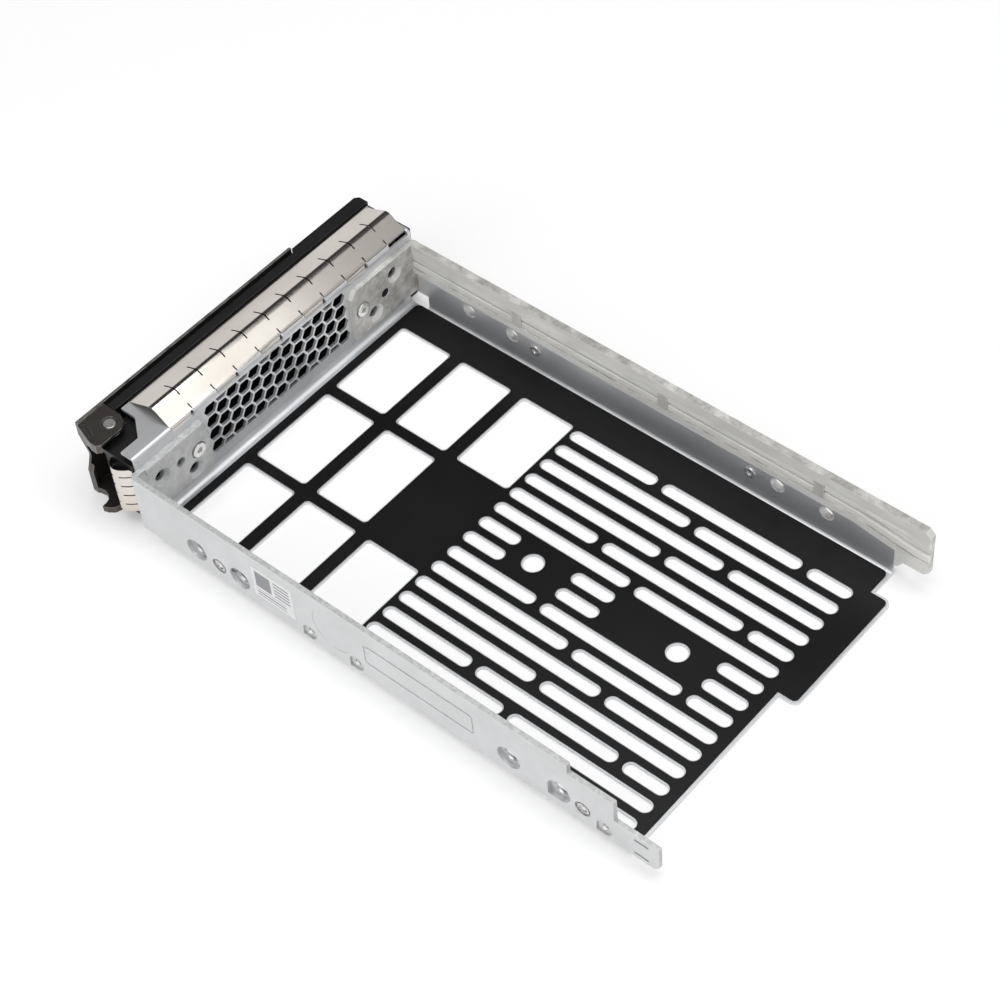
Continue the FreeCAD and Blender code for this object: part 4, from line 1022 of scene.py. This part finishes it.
    def build(self, shop: Shop) -> None:
        """Dresses the rails and what they carry.

        Args:
            shop: makes the pieces.
        """
        shop.eased("rail_right", "rail_right_casting", CAST_RIGHT, self.edge)
        shop.eased("rail_left", "rail_left_casting", CAST_LEFT, self.edge)
        for number in (1, 2, 3):
            clip, strap = "pipe_clip_%d" % number, "pipe_clip_strap_%d" % number
            shop.eased(clip, strap, CLIP_METAL, self.screw_edge)
        shop.eased("light_pipe_upper", "light_pipe_strip_upper", LIGHT_PIPE, self.pipe_edge)
        shop.eased("light_pipe_lower", "light_pipe_strip_lower", LIGHT_PIPE, self.pipe_edge)
        shop.eased("ear_screws", "ear_screw_heads", PLATED_STEEL, self.screw_edge)
        self.dished(shop, "rivets_right", "rivet_heads_right", 1.0)
        self.dished(shop, "rivets_left", "rivet_heads_left", -1.0)
        self.flares(shop, "rivets_right", "rivet_flares_right", 1.0)
        self.flares(shop, "rivets_left", "rivet_flares_left", -1.0)
        shop.smoothed("lug_studs", "lug_stud_domes", PLATED_STEEL, self.dome_curve)
        shop.carry("blank_label", PAPER_LABEL)


@dataclass
class ContactFingers:
    """Spring steel strips that ground the caddy in its bay.

    Attributes:
        curve: bends under this many degrees a facet are one smooth surface.
    """

    curve: float = 24.0

    def build(self, shop: Shop) -> None:
        """Dresses both strips.

        Args:
            shop: makes the pieces.
        """
        shop.smoothed("top_contact_strip", "top_contact_fingers", SPRING_STEEL, self.curve)
        shop.smoothed("side_contact_strip", "side_contact_fingers", SPRING_STEEL, self.curve)


@dataclass
class Front:
    """Bezel, lever and release button.

    Attributes:
        edge: width of the eased edges of the mouldings.
        lever_edge: width of the eased edges of the lever.
        plate: thickness of the lever's sheet.
        pin_edge: width of the eased edge of the pin.
        button_edge: width of the eased edges of the button.
        wire_curve: bends of the spring wires under this many degrees are one smooth surface.
    """

    edge: float = 0.2 * MM
    lever_edge: float = 0.15 * MM
    plate: float = 0.8 * MM
    pin_edge: float = 0.15 * MM
    button_edge: float = 0.25 * MM
    wire_curve: float = 60.0

    def build(self, shop: Shop) -> None:
        """Dresses the front pieces.

        Args:
            shop: makes the pieces.
        """
        shop.eased("bezel", "bezel_moulding", BLACK_PLASTIC, self.edge)
        lever = shop.eased("lever", "lever_stamping", DARK_STEEL, self.lever_edge, "lever")
        low, high = (Vector(corner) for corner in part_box("lever"))
        # the lever's cut top edges take the lighter edge tone in full: bare cut metal, and a painted
        # highlight along the plate's top edge
        shop.mark_faces(lever, low, Vector((high.x, low.y + self.plate, high.z)), 1.0)
        shop.eased("pivot_pin", "pivot_pin_head", PLATED_STEEL, self.pin_edge)
        shop.smoothed("lever_spring", "lever_spring_wire", SPRING_WIRE, self.wire_curve)
        spring = shop.smoothed(
            "button_spring", "button_spring_wire", SPRING_WIRE, self.wire_curve
        )
        low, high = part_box("button_spring")
        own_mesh(spring)
        shop.eased(
            "release_button", "release_button_cap", BUTTON_PLASTIC,
            self.button_edge, "button",
        )


# ------------------------------------------------------------------ the studio
@dataclass(frozen=True)
class Lamp:
    """Square soft lamp aimed at the caddy.

    Attributes:
        name: name of the lamp.
        place: its place.
        size: length of its sides in metres.
        power: its power in watts.
    """

    name: str
    place: tuple[float, float, float]
    size: float
    power: float

    def light(self) -> None:
        """Adds the lamp."""
        bpy.ops.object.light_add(type="AREA", location=self.place)
        light = bpy.context.active_object
        light.name = self.name
        light.data.shape = "SQUARE"
        light.data.size = self.size
        light.data.energy = self.power
        light.rotation_euler = (-Vector(self.place)).to_track_quat("-Z", "Y").to_euler()


@dataclass
class Studio:
    """Camera, lamps, world and floor.

    Attributes:
        eye: place of the camera.
        aim: point in the middle of the view.
        roll: turn of the camera about its line of sight, in degrees.
        lens: focal length in millimetres on a 36 mm wide sensor.
        shift: sideways and upward shift of the frame.
        surround: heights on the unit sphere and how light the room is there, from the backdrop up.
        table_size: length of the table's sides.
        table_drop: how far it lies below the caddy, so that the two don't share a plane.
        table_tone: colour of the table, linear.
        table_rough: roughness of the table.
        table_lift: brightness that the table adds for the camera and in reflections.
        lamps: the lamps.
    """

    eye: tuple[float, float, float] = (0.28582, 0.29292, 0.48750)
    aim: tuple[float, float, float] = (-0.00305, 0.00582, 0.01000)
    roll: float = -5.75
    lens: float = 90.75
    shift: tuple[float, float] = (0.0017, 0.0049)
    surround: tuple[tuple[float, float], ...] = ((0.05, 0.92), (0.18, 0.68), (0.25, 0.60), (0.36, 0.05))
    table_size: float = 6.0
    table_drop: float = 0.02 * MM
    table_tone: Colour = (0.80, 0.80, 0.80)
    table_rough: float = 0.9
    table_lift: float = 0.28
    lamps: tuple[Lamp, ...] = (
        Lamp("lamp_overhead", (0.0, 0.0, 1.3), 1.1, 12.5),
        Lamp("lamp_left", (-0.28, 0.62, 0.87), 0.6, 1.15),
        Lamp("lamp_left_wide", (-0.74, 0.64, 1.10), 0.9, 1.05),
        Lamp("lamp_right", (1.1, 0.1, 0.6), 1.4, 6.5),
    )

    def camera(self) -> None:
        """Places the camera."""
        bpy.ops.object.camera_add(location=self.eye)
        camera = bpy.context.active_object
        camera.name = "view_camera"
        look = (Vector(self.aim) - Vector(self.eye)).to_track_quat("-Z", "Y")
        turn = Matrix.Rotation(math.radians(self.roll), 4, "Z")
        camera.matrix_world = Matrix.Translation(self.eye) @ look.to_matrix().to_4x4() @ turn
        camera.data.lens = self.lens
        camera.data.sensor_width = 36.0
        camera.data.shift_x, camera.data.shift_y = self.shift
        camera.data.clip_start = 0.01
        camera.data.clip_end = 20.0
        bpy.context.scene.camera = camera

    def world(self) -> None:
        """Pale surroundings up to the edge of the backdrop and a darker room above it."""
        world = bpy.data.worlds.new("studio")
        bpy.context.scene.world = world
        world.use_nodes = True
        graph = Graph(world.node_tree)
        place, split, fade = graph.node("TexCoord"), graph.node("SeparateXYZ"), graph.node("ValToRGB")
        graph.feed(split, {0: place.outputs["Generated"]})
        stops = fade.color_ramp.elements
        while len(stops) < len(self.surround):
            stops.new(0.5)
        for stop, (height, level) in zip(stops, self.surround):
            stop.position = height
            stop.color = (level, level, level, 1.0)
        graph.feed(fade, {0: split.outputs["Z"]})
        graph.feed(graph.tree.nodes["Background"], {"Color": fade.outputs[0]})

    def floor(self) -> None:
        """Pale table that keeps the caddy's shadow and looks white to the camera and in metal."""
        bpy.ops.mesh.primitive_plane_add(size=self.table_size, location=(0.0, 0.0, -self.table_drop))
        table = bpy.context.active_object
        table.name = "table_top"
        material = bpy.data.materials.new("table_white")
        material.use_nodes = True
        graph = Graph(material.node_tree)
        path = graph.node("LightPath").outputs
        seen = graph.sum("MAXIMUM", path["Is Camera Ray"], path["Is Glossy Ray"])
        through = graph.sum("MAXIMUM", seen, path["Is Transmission Ray"])
        graph.feed(graph.tree.nodes["Principled BSDF"], {
            "Base Color": (*self.table_tone, 1.0),
            "Roughness": self.table_rough,
            "Specular IOR Level": 0.0,
            "Emission Color": (1.0, 1.0, 1.0, 1.0),
            "Emission Strength": graph.sum("MULTIPLY", through, self.table_lift),
        })
        table.data.materials.append(material)

    def build(self) -> None:
        """Sets up the whole studio."""
        self.camera()
        for lamp in self.lamps:
            lamp.light()
        self.world()
        self.floor()
        bpy.context.scene.view_settings.view_transform = "Standard"


def main() -> None:
    """Builds the studio and dresses every piece."""
    logging.basicConfig(level=logging.INFO, format="%(name)s: %(message)s")
    Studio().build()
    effects = Effects()
    finishes = [
        ZINC_SHEET, BLACK_FILM, CAST_RIGHT, CAST_LEFT, CLIP_METAL, LIGHT_PIPE, SPRING_STEEL,
        BLACK_PLASTIC, BUTTON_PLASTIC, PLATED_STEEL, SPRING_WIRE, DARK_STEEL, PAPER_LABEL,
    ]
    shop = Shop({finish.name: finish.build(effects) for finish in finishes})
    for part in (SheetTray(), SideRails(), ContactFingers(), Front()):
        part.build(shop)
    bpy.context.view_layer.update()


if __name__ == "__main__":
    main()
